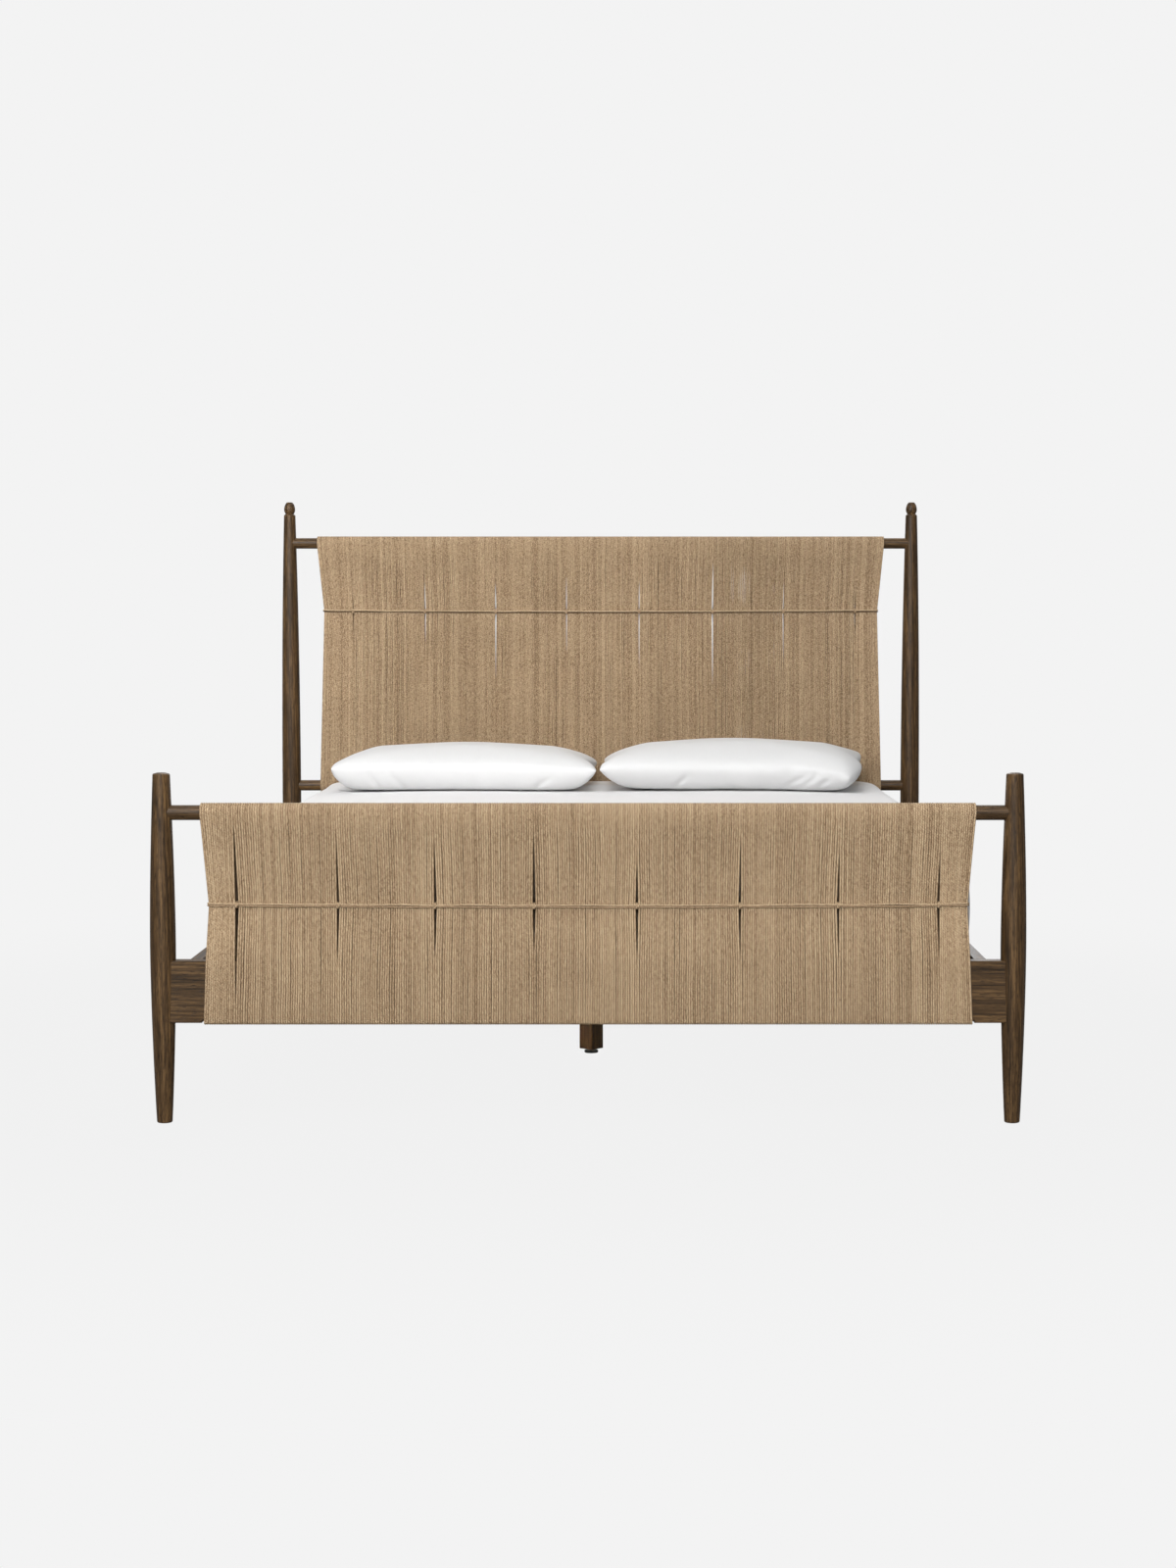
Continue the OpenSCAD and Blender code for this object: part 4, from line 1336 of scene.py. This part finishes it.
def soft_noise(points: np.ndarray, width: float, seed: float) -> np.ndarray:
    """Smooth noise from -1 to 1 at each point.

    Args:
        points: n by 3 places.
        width: the size of its hills, in metres.
        seed: a shift that gives another pattern.

    Returns:
        One value for each point.
    """
    return np.array([noise.noise(Vector(p / width) + Vector((seed, 0, 0))) for p in points])


@dataclass
class Mattress:
    """The mattress in its fitted sheet: crowned, bulging and gathered at the corners."""

    around: int = 760  # points in a ring
    hem: float = 24 * MM
    shoulder: float = 45 * MM
    bulge: float = 6 * MM
    crown: float = 6 * MM
    corner: float = 90 * MM
    centre_gap: float = 20 * MM  # half the width of the innermost ring
    side_depth: float = 30 * MM  # how far in from the outline the side's folds reach
    fold: float = 3.2 * MM
    fold_w: float = 21 * MM  # the width of a corner gather, over 2 pi
    fold_reach: float = 130 * MM  # how far from a corner the gathers run
    fold_slant: float = 3.0  # how far they lean on the way up, in radians
    fold_bend: float = 1.5  # how far they wander, in radians
    fold_drift: float = 120 * MM  # the size of the hills that bend them
    fold_top: float = 0.35  # how high they still are at the mattress's top
    fold_sink: float = 0.6  # how far the sheet lies in, as a share of a fold
    hem_fold: float = 1.1 * MM
    hem_fold_w: float = 8.5 * MM
    hem_bend: float = 2.0
    hem_drift: float = 90 * MM
    hem_reach: float = 0.22  # how far up they run, as a share of the height
    wave: tuple[float, float] = (1.6 * MM, 0.5 * MM)  # heights of wide and narrow waves
    wave_w: tuple[float, float] = (320 * MM, 110 * MM)
    swell: float = 10 * MM  # how far the top rises behind the pillows
    swell_from: float = 110 * MM  # where that starts, in front of the head end
    swell_over: float = 80 * MM
    lean: float = 14 * MM  # how much further the right side stands out than the left
    body: str = "mattress"

    def outline(self, inset: float, half: tuple[float, float]) -> np.ndarray:
        """A rounded rectangle, drawn in by inset, with points spread along it evenly.

        Args:
            inset: how far inside the widest outline.
            half: half the widest outline's width and length.

        Returns:
            The points, two numbers each.
        """
        a, b = half[0] - inset, half[1] - inset
        r = max(self.corner - inset, 12 * MM)
        dense = []
        for q, (sx, sy) in enumerate(((1, 1), (-1, 1), (-1, -1), (1, -1))):
            for t in np.radians(np.linspace(90 * q, 90 * q + 90, 40)):
                dense.append([sx * (a - r) + r * math.cos(t), sy * (b - r) + r * math.sin(t), 0.0])
        # The same share of the outline lies between two points on every ring.
        return evenly(np.array(dense + dense[:1]), 2 * (a + b) * 2 / self.around)[:, :2]

    def rings(self) -> tuple[list[np.ndarray], tuple[float, float]]:
        """The mattress's rings from the middle underneath to the middle on top.

        Returns:
            The rings, and half its width and half its length.
        """
        low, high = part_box("mattress")
        half = ((high.x - low.x) / 2, (high.y - low.y) / 2)
        bottom, top = low.z, high.z
        profile = [(k, bottom) for k in (0.6, 0.3, 0.12)]
        for a in np.radians(np.linspace(0, 90, 7)):
            inset = self.bulge + self.hem * (1 - math.sin(a))
            profile.append((inset, bottom + self.hem * (1 - math.cos(a))))
        side_low, side_high = bottom + self.hem, top - self.crown - self.shoulder
        for s in np.linspace(0, 1, 26)[1:-1]:
            inset = self.bulge * (1 - math.sin(math.pi * s))
            profile.append((inset, side_low + (side_high - side_low) * s))
        for a in np.radians(np.linspace(0, 90, 12)):
            inset = self.bulge + self.shoulder * (1 - math.cos(a))
            profile.append((inset, side_high + self.shoulder * math.sin(a)))
        edge = self.bulge + self.shoulder
        for s in np.linspace(0, 1, 34)[1:]:
            inset = edge + (half[0] - edge - 6 * MM) * s
            profile.append((inset, top - self.crown * (1 - s) ** 4))
        rings = []
        for inset, z in profile:
            flat = self.outline(min(inset, half[0] - self.centre_gap), half)
            at = np.linspace(0, 1, self.around, endpoint=False)
            own = np.linspace(0, 1, len(flat))
            x, y = (np.interp(at, own, flat[:, k]) for k in (0, 1))
            rings.append(np.stack([x, y, np.full(self.around, z)], 1))
        return rings, half

    def build(self) -> None:
        """Builds the mattress in its sheet and dresses it."""
        rings, (a, b) = self.rings()
        points = np.vstack(rings)
        count, layers = self.around, len(rings)
        points = points + self.folds(points, a, b)
        i = np.repeat(np.arange(layers - 1), count) * count
        j = np.tile(np.arange(count), layers - 1)
        k = (j + 1) % count
        faces = np.stack([i + j, i + k, i + count + k, i + count + j], 1).tolist()
        faces.append(list(range(count))[::-1])
        faces.append(list(range((layers - 1) * count, layers * count)))
        corners = np.concatenate([np.array(f) for f in faces])
        place = points[corners]
        level = np.abs(place[:, 2:] - points[:, 2].mean()) > 0.09
        cloth = np.where(level, place[:, :2], np.stack([place[:, 0] + place[:, 1], place[:, 2]], 1))
        piece = new_piece("mattress_in_fitted_sheet", points, faces, {CLOTH_MAP: cloth})
        sheet = WovenCotton("fitted_sheet", white="#E8E7E7", shade="#DFDEDE")
        fit_out(piece, self.body, "linen", sheet, "mattress")

    def folds(self, points: np.ndarray, a: float, b: float) -> np.ndarray:
        """The sheet's folds: gathers at the corners and the hem, and faint waves.

        Args:
            points: the smooth mattress's points.
            a: half its width.
            b: half its length.

        Returns:
            How far each point moves.
        """
        x, y, z = points.T
        far_x, far_y = np.abs(x), np.abs(y)
        flat = np.zeros(len(points))
        up = (z - z.min()) / (z.max() - z.min())
        # How far a point lies past the corner circles' middles, which gives its way out
        past_x = np.clip(far_x - (a - self.corner), 0, None)
        past_y = np.clip(far_y - (b - self.corner), 0, None)
        towards = np.stack([x, y * a / b, flat], 1)
        out = unit(np.stack([past_x * np.sign(x), past_y * np.sign(y), flat], 1) + TINY * towards)
        # Distance along the side from the nearest corner's middle
        along = np.where(far_x / a > far_y / b, b - far_y, far_x - a)
        on_side = (far_x > a - self.side_depth) | (far_y > b - self.side_depth)
        on_side |= np.hypot(past_x, past_y) > self.corner - self.side_depth
        near = np.exp(-((along / self.fold_reach) ** 2))
        bend = self.fold_bend * soft_noise(points, self.fold_drift, 3.0)
        slant = along / self.fold_w + self.fold_slant * up + bend
        height = self.fold_top + (1 - self.fold_top) * (1 - up)
        gathers = near * np.sin(slant) * height * self.fold
        bend = self.hem_bend * soft_noise(points, self.hem_drift, 7.0)
        ripple = np.sin(along / self.hem_fold_w + bend)
        hem = np.exp(-((up / self.hem_reach) ** 2)) * ripple * self.hem_fold
        waves = sum(
            soft_noise(points, width, seed) * height
            for height, width, seed in zip(self.wave, self.wave_w, (11.0, 5.0))
        )
        side = on_side * np.clip(np.minimum(up, 1 - up) * 12, 0, 1)
        push = out * ((gathers + hem + waves - self.fold * self.fold_sink) * side)[:, None]
        push[:, 2] += np.where(up > 0.97, waves * 0.5 - 0.5 * MM, 0.0)
        # Behind the pillows the top is not pressed down, and swells.
        behind = np.clip((y - b + self.swell_from) / self.swell_over, 0, 1)
        push[:, 2] += self.swell * behind**2 * (3 - 2 * behind) * (up > 0.8)
        push[:, 0] += self.lean * np.clip(x / a, 0, 1) ** 4
        return push


@dataclass
class Pillow:
    """A pillow in its case: two layers of cotton sewn round the edge and blown up.

    Corners are named by their side, -1 for left or foot and 1 for right or head, each
    with how far it is drawn right, back and up. A crease has two ends, each a place
    across the bed and a height. Both are in millimetres.
    """

    node: str
    seed: int
    flat_l: float = 768 * MM
    flat_w: float = 524 * MM
    cells: tuple[int, int] = (96, 66)
    corner_cut: float = 0.018  # how much a corner is rounded off, as a share
    start_h: float = 40 * MM
    lump: float = 3 * MM
    lump_w: float = 160 * MM
    pressure: float = 4.5
    frames: int = 24
    iron: int = 6  # rounds of smoothing after the filling
    fullness: float = 0.64  # power of the thickness; a lower one fills the edges more
    set_share: float = 0.75  # how far the blown-up outline goes back to the cut one
    draw_in: float = 0.03  # how far the edges' middles are drawn in, as a share
    crown: float = 1.0  # height of the top, as a share of the node's
    press: float = 1.8  # how hard the underside rests on the mattress
    corners: dict[tuple[int, int], tuple[float, float, float]] = field(default_factory=dict)
    corner_hold: int = 5  # power of a corner's pull; a higher one keeps it near the corner
    creases: list[tuple[float, float, float, float]] = field(default_factory=list)
    crease_w: float = 8 * MM
    crease_d: float = 6.5 * MM
    crease_ends: float = 0.12  # how far into its fade a crease starts and ends
    crease_front: float = 100 * MM  # creases stay this far in front of the middle
    clearance: float = 0.5 * MM
    seam: float = 2 * MM
    cut_at: np.ndarray = field(init=False)  # each point's place in the cut cloth

    def sack(self) -> bpy.types.Object:
        """The sewn, nearly flat case.

        Returns:
            A closed mesh whose two layers share their edge.
        """
        nx, ny = self.cells
        u, v = np.meshgrid(np.linspace(-1, 1, nx + 1), np.linspace(-1, 1, ny + 1), indexing="ij")
        u, v = u.ravel(), v.ravel()
        # The corners are cut a little round.
        cut = 1 - self.corner_cut * (np.abs(u * v) ** 6)
        x, y = u * cut * self.flat_l / 2, v * cut * self.flat_w / 2
        rise = self.start_h / 2 * ((1 - np.abs(u) ** 3) * (1 - np.abs(v) ** 3)) ** 0.7
        shift = np.random.default_rng(self.seed).uniform(0, 50)
        flat = np.stack([x, y, np.zeros_like(x)], 1)
        lumps = soft_noise(flat, self.lump_w, shift) * self.lump * (rise > 1e-6)
        border = (np.abs(u) > 1 - TINY) | (np.abs(v) > 1 - TINY)
        self.cut_at = np.concatenate([np.stack([u, v], 1), np.stack([u, v], 1)[~border]])
        top = np.stack([x, y, rise + lumps], 1)
        below = np.stack([x, y, -rise + lumps], 1)[~border]
        index = np.arange(len(x))
        low_index = index.copy()
        low_index[~border] = len(x) + np.arange((~border).sum())
        faces, cloth = [], []
        for layer, ids in ((0, index), (1, low_index)):
            grid = ids.reshape(nx + 1, ny + 1)
            base = index.reshape(nx + 1, ny + 1)
            for i in range(nx):
                for j in range(ny):
                    cells = [(i, j), (i + 1, j), (i + 1, j + 1), (i, j + 1)]
                    if layer:
                        cells = cells[::-1]
                    faces.append([int(grid[c]) for c in cells])
                    cloth += [[x[base[c]], y[base[c]] + layer * self.flat_w] for c in cells]
        name, points = self.node + "_in_case", np.vstack([top, below])
        return new_piece(name, points, faces, {CLOTH_MAP: np.array(cloth)})

    def blow_up(self, piece: bpy.types.Object) -> None:
        """Fills the case by a cloth simulation and keeps its result.

        Args:
            piece: the flat case.
        """
        modifier = piece.modifiers.new("filling", "CLOTH")
        settings = modifier.settings
        settings.quality = 6
        settings.mass = 0.25
        settings.tension_stiffness = settings.compression_stiffness = 18
        settings.shear_stiffness = 8
        settings.bending_stiffness = 4.0
        settings.use_pressure = True
        settings.uniform_pressure_force = self.pressure
        settings.effector_weights.gravity = 0.0
        modifier.collision_settings.use_collision = False
        modifier.point_cache.frame_start, modifier.point_cache.frame_end = 1, self.frames
        for number in range(1, self.frames + 1):
            bpy.context.scene.frame_set(number)
        graph = bpy.context.evaluated_depsgraph_get()
        shape = piece.evaluated_get(graph)
        points = np.zeros(len(piece.data.vertices) * 3, np.float32)
        shape.data.vertices.foreach_get("co", points)
        piece.modifiers.remove(modifier)
        piece.data.vertices.foreach_set("co", points)
        piece.data.update()
        bpy.context.scene.frame_set(1)
        soft = bmesh.new()
        soft.from_mesh(piece.data)
        axes = {f"use_axis_{axis}": True for axis in "xyz"}
        for _ in range(self.iron):
            bmesh.ops.smooth_vert(soft, verts=soft.verts, factor=0.5, **axes)
        soft.to_mesh(piece.data)
        soft.free()

    def settle(self, piece: bpy.types.Object) -> None:
        """Sizes the filled pillow to its node, rests it flat and lets its corners hang.

        Args:
            piece: the filled case.
        """
        low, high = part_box(self.node)
        points = np.zeros(len(piece.data.vertices) * 3)
        piece.data.vertices.foreach_get("co", points)
        points = points.reshape(-1, 3)
        small, large = points.min(0), points.max(0)
        points[:, :2] = 2 * (points[:, :2] - (small + large)[:2] / 2) / (large - small)[:2]
        # A soft filling draws the edges in less than air does.
        even = self.cut_at * (1 - self.draw_in * (1 - self.cut_at[:, ::-1] ** 2))
        points[:, :2] += self.set_share * (even - points[:, :2])
        # Filling packs towards the seams, so thin parts of the blown-up case get fuller.
        thick = (np.abs(points[:, 2]) / np.abs(points[:, 2]).max()) ** self.fullness
        pressed = self.press * thick / (1 + (self.press * thick) ** 6) ** (1 / 6)
        share = np.where(points[:, 2] >= 0, thick * self.crown, -pressed)
        size, middle = np.array(high - low), np.array((low + high) / 2)
        inside = (size[:2] / 2 - self.seam) * points[:, :2]
        placed = np.column_stack([inside, share * (size[2] / 2 - self.clearance)]) + middle
        for (x, y), move in self.corners.items():
            near = (1 + x * points[:, 0]) / 2 * (1 + y * points[:, 1]) / 2
            near = near.clip(0) ** self.corner_hold
            placed += near[:, None] * np.array(move) * MM
        for crease in self.creases:
            placed[:, 1] += self.crease(placed, middle[1], np.array(crease) * MM)
        placed[:, 2] = np.maximum(placed[:, 2], low.z + self.clearance)
        piece.data.vertices.foreach_set("co", placed.astype(np.float32).ravel())
        piece.data.update()

    def crease(self, points: np.ndarray, middle: float, line: np.ndarray) -> np.ndarray:
        """One soft crease in the pillow's front, a valley between two low ridges.

        Args:
            points: the pillow's points.
            middle: its middle along the bed; what is behind stays smooth.
            line: the crease's two ends, each a place across the bed and a height.

        Returns:
            How far each point moves back.
        """
        ends = line.reshape(2, 2)
        way = ends[1] - ends[0]
        flat = points[:, [0, 2]] - ends[0]
        at = np.clip(flat @ way / (way @ way), 0, 1)
        off = np.linalg.norm(flat - at[:, None] * way, axis=1) / self.crease_w
        fade = np.sin(math.pi * (self.crease_ends + (1 - 2 * self.crease_ends) * at))
        fade = fade * (points[:, 1] < middle - self.crease_front)
        return self.crease_d * fade * (1 - off**2) * np.exp(-(off**2))

    def build(self) -> None:
        """Sews, fills, settles and dresses the pillow."""
        piece = self.sack()
        self.blow_up(piece)
        self.settle(piece)
        smooth = piece.modifiers.new("smooth", "SUBSURF")
        smooth.levels = smooth.render_levels = 1
        fit_out(piece, self.node, "linen", WovenCotton(), self.node)


# ---- studio ------------------------------------------------------------------


@dataclass
class Lamp:
    """A round soft lamp."""

    name: str
    at: tuple[float, float, float]
    aim: tuple[float, float, float]
    size: float
    power: float
    spread_deg: float = 180.0

    def build(self) -> None:
        """Hangs the lamp and turns it towards its aim."""
        light = bpy.data.lights.new(self.name, "AREA")
        light.shape = "DISK"
        light.size = self.size
        light.energy = self.power
        light.spread = math.radians(self.spread_deg)
        holder = in_scene(self.name, light)
        holder.location = self.at
        way = Vector(self.aim) - Vector(self.at)
        holder.rotation_euler = way.to_track_quat("-Z", "Y").to_euler()


@dataclass
class Studio:
    """The pale floor and world, the soft lamps, and the camera at the bed's foot."""

    background: str = "#F3F3F3"
    floor_half: float = 30.0
    shadow_share: float = 0.035  # how much of the floor's own light and shadow shows
    ambient: float = 0.25
    reflected: float = 0.07  # how much of the background a reflection sees near the horizon
    paper: str = "#969696"
    near: float = 1.3  # where the floor's own light starts to fade out, from the middle
    far: float = 3.2  # where it has faded out
    focal_px: float = 2816.0
    frame_px: tuple[int, int] = (1200, 1600)
    middle_px: tuple[float, float] = (646.9, 810.6)
    camera_at: tuple[float, float, float] = (0.091, -6.503, 1.0026)
    pitch_deg: float = 3.63
    sensor_mm: float = 36.0
    clip_end: float = 200.0
    lamps: list[Lamp] = field(
        default_factory=lambda: [
            Lamp("key", (-0.8, -9.5, 3.2), (0.0, 0.0, 0.6), 3.0, 330.0),
            Lamp("left", (-4.5, -7.5, 2.6), (0.0, 0.0, 0.6), 2.6, 118.0),
            Lamp("right", (2.6, -7.6, 1.8), (0.0, 0.0, 0.6), 2.4, 14.0),
            Lamp("top", (-0.5, -4.6, 4.6), (0.0, -0.5, 0.6), 2.6, 185.0),
            Lamp("ceiling", (0.0, 2.2, 4.6), (0.0, 0.0, 0.5), 3.0, 40.0),
            Lamp("rim", (0.0, 5.2, 4.2), (0.0, 0.0, 0.6), 3.4, 60.0),
            Lamp("back", (0.6, 6.4, 1.8), (0.0, 1.0, 0.7), 3.0, 55.0),
            Lamp("side", (-2.4, -2.6, 2.6), (-0.5, 1.04, 0.95), 1.0, 6.0, 50.0),
            Lamp("under", (-1.1, -2.6, 0.05), (0.0, -0.15, 0.06), 0.05, 0.2, 10.0),
        ]
    )

    def seen(self, tree: bpy.types.NodeTree, reflected: float | bpy.types.Node) -> bpy.types.Node:
        """How far a ray sees the background as it is, and not as a source of light.

        Args:
            tree: the material's or world's node tree.
            reflected: the share of it that a reflection sees.

        Returns:
            A node that gives 1 for the camera and for glass, and 0 for other light.
        """
        rays = add_node(tree, "LightPath")
        mirrored = add_node(
            tree, "Math", {0: rays.outputs["Is Glossy Ray"], 1: reflected}, operation="MULTIPLY"
        )
        either = add_node(
            tree, "Math", {0: rays.outputs["Is Camera Ray"], 1: mirrored}, operation="MAXIMUM"
        )
        return add_node(
            tree, "Math", {0: either, 1: rays.outputs["Is Transmission Ray"]}, operation="MAXIMUM"
        )

    def build_world(self) -> None:
        """A plain ambient light that looks like the background."""
        world = bpy.data.worlds.new("studio_air")
        bpy.context.scene.world = world
        tree = empty_tree(world)
        white = linear("#FFFFFF")
        air = add_node(tree, "Background", {"Color": white, "Strength": self.ambient})
        shown = add_node(tree, "Background", {"Color": linear(self.background), "Strength": 1.0})
        way = add_node(tree, "TexCoord")
        rise = add_node(tree, "SeparateXYZ", {0: way.outputs["Generated"]})
        # Polished tops mirror the white ceiling whole and the walls only faintly.
        ceiling = add_node(
            tree,
            "MapRange",
            {"Value": rise.outputs["Z"], "From Min": 0.1, "From Max": 0.5,
             "To Min": self.reflected, "To Max": 1.0},
        )
        mixed = add_node(tree, "MixShader", {0: self.seen(tree, ceiling), 1: air, 2: shown})
        add_node(tree, "OutputWorld", {"Surface": mixed})

    def build_floor(self) -> None:
        """A pale sweep of floor that keeps a faint shadow of the bed."""
        h = self.floor_half
        mesh = bpy.data.meshes.new("studio_floor")
        mesh.from_pydata([(-h, -h, 0), (h, -h, 0), (h, h, 0), (-h, h, 0)], [], [(0, 1, 2, 3)])
        floor = in_scene("studio_floor", mesh)
        material = bpy.data.materials.new("PalePaperSweep")
        tree = empty_tree(material)
        matt = add_node(tree, "BsdfDiffuse", {"Color": linear(self.paper)})
        glow = add_node(tree, "Emission", {"Color": linear(self.background), "Strength": 1.0})
        place = add_node(tree, "NewGeometry")
        away = add_node(tree, "VectorMath", {0: place.outputs["Position"]}, operation="LENGTH")
        plain = add_node(
            tree,
            "MapRange",
            {"Value": away.outputs["Value"], "From Min": self.near, "From Max": self.far,
             "To Min": 1 - self.shadow_share, "To Max": 1.0},
            interpolation_type="SMOOTHSTEP",
        )
        share = add_node(
            tree, "Math", {0: self.seen(tree, self.reflected), 1: plain}, operation="MULTIPLY"
        )
        mixed = add_node(tree, "MixShader", {0: share, 1: matt, 2: glow})
        add_node(tree, "OutputMaterial", {"Surface": mixed})
        mesh.materials.append(material)

    def build_camera(self) -> None:
        """The camera, with its lens and shift from the picture's own geometry."""
        long_side = max(self.frame_px)
        data = bpy.data.cameras.new("camera")
        data.sensor_width = self.sensor_mm
        data.lens = self.focal_px / long_side * self.sensor_mm
        data.shift_x = (self.frame_px[0] / 2 - self.middle_px[0]) / long_side
        data.shift_y = (self.middle_px[1] - self.frame_px[1] / 2) / long_side
        data.clip_end = self.clip_end
        camera = in_scene("camera", data)
        camera.location = self.camera_at
        camera.rotation_euler = (math.radians(90 - self.pitch_deg), 0.0, 0.0)
        bpy.context.scene.camera = camera

    def build(self) -> None:
        """Sets the camera, the world, the floor and the lamps."""
        self.build_camera()
        self.build_world()
        self.build_floor()
        for lamp in self.lamps:
            lamp.build()
        bpy.context.scene.view_settings.view_transform = "Standard"


def mid(low: Vector, high: Vector, axis: int) -> float:
    """The middle of a box along one axis."""
    return (low[axis] + high[axis]) / 2


def metres(*lengths_mm: float) -> list[float]:
    """Lengths given in millimetres, in metres."""
    return [length * MM for length in lengths_mm]


def make_panels() -> list[CordPanel]:
    """Lays the two panels out on the frame's own bars and rail.

    Returns:
        The footboard's panel and the headboard's.
    """
    foot_bar, head_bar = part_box("foot_top_bar"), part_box("head_top_bar")
    head_low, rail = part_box("head_lower_bar"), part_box("foot_rail")
    foot_tie, head_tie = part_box("foot_tie_cord"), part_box("head_tie_cord")
    foot = CordPanel(
        "foot",
        plane_y=mid(*foot_bar, 1),
        bar_z=mid(*foot_bar, 2),
        bar_r=(foot_bar[1].z - foot_bar[0].z) / 2,
        low_z=rail[0].z,
        under=Under.RAIL,
        tie_z=mid(*foot_tie, 2),
        slit_at=metres(-697, -496, -303, -107, 97, 301, 496, 695),
        slit_open=metres(6.5, 4.5, 5, 5.5, 5, 4.5, 4.5, 5),
        slit_up=metres(165, 137, 131, 148, 92, 139, 115, 111),
        slit_down=metres(195, 109, 105, 95, 112, 106, 109, 103),
        seed=4,
        rail_top=rail[1].z,
        widest=0.8 * MM,
        tone=0.68,
        top_half=768.5 * MM,
        low_half=763.5 * MM,
    )
    head = CordPanel(
        "head",
        plane_y=mid(*head_bar, 1),
        bar_z=mid(*head_bar, 2),
        bar_r=(head_bar[1].z - head_bar[0].z) / 2,
        low_z=mid(*head_low, 2),
        under=Under.BAR,
        tie_z=mid(*head_tie, 2),
        slit_at=metres(-674, -478, -286, -93, 105, 305, 498, 693),
        slit_open=metres(2.2, 4.1, 4.4, 3, 3.2, 4.2, 2.8, 3.2),
        slit_up=metres(60, 130, 100, 120, 90, 150, 130, 60),
        slit_down=metres(90, 120, 230, 130, 160, 220, 200, 90),
        seed=9,
        inside=-0.25,
        tie_tones=(-0.55, 1.3),
        loose={6: 4.76 * MM},
        back_slit=0.85,
    )
    return [foot, head]


def make_pillows() -> list[Pillow]:
    """Names the two pillows, with how each one's corners hang, in millimetres.

    Returns:
        The left pillow, whose outer end tapers, and the right one, whose outer end
        is blunt.
    """
    left = {
        (-1, -1): (17, 6, -5),
        (-1, 1): (28, -20, -20),
        (1, -1): (2, 0, -9),
        (1, 1): (-2, -14, -10),
    }
    right = {
        (1, -1): (-70, 10, -30),
        (1, 1): (-4, 0, 14),
        (-1, -1): (-4, 0, 0),
        (-1, 1): (2, -10, -6),
        (1, 0): (384, 0, 0),
    }
    left_creases = [(-591, 612, -552, 560), (-533, 606, -482, 556), (-120, 600, -180, 560)]
    right_creases = [
        (574, 616, 520, 572),
        (548, 612, 474, 572),
        (596, 598, 562, 574),
        (230, 604, 190, 570),
    ]
    return [
        Pillow("pillow_left", seed=21, crown=0.83, press=2.1, corners=left, creases=left_creases),
        Pillow("pillow_right", seed=34, corners=right, creases=right_creases),
    ]


def main() -> None:
    """Builds the bed's pieces in order."""
    logging.basicConfig(level=logging.INFO, format="%(message)s", force=True)
    Studio().build()
    TurnedFrame().dress()
    SlatDeck().dress()
    Fittings().dress()
    for panel in make_panels():
        panel.build()
        TieWork(panel).build()
    Mattress().build()
    for pillow in make_pillows():
        pillow.build()


if __name__ == "__main__":
    main()
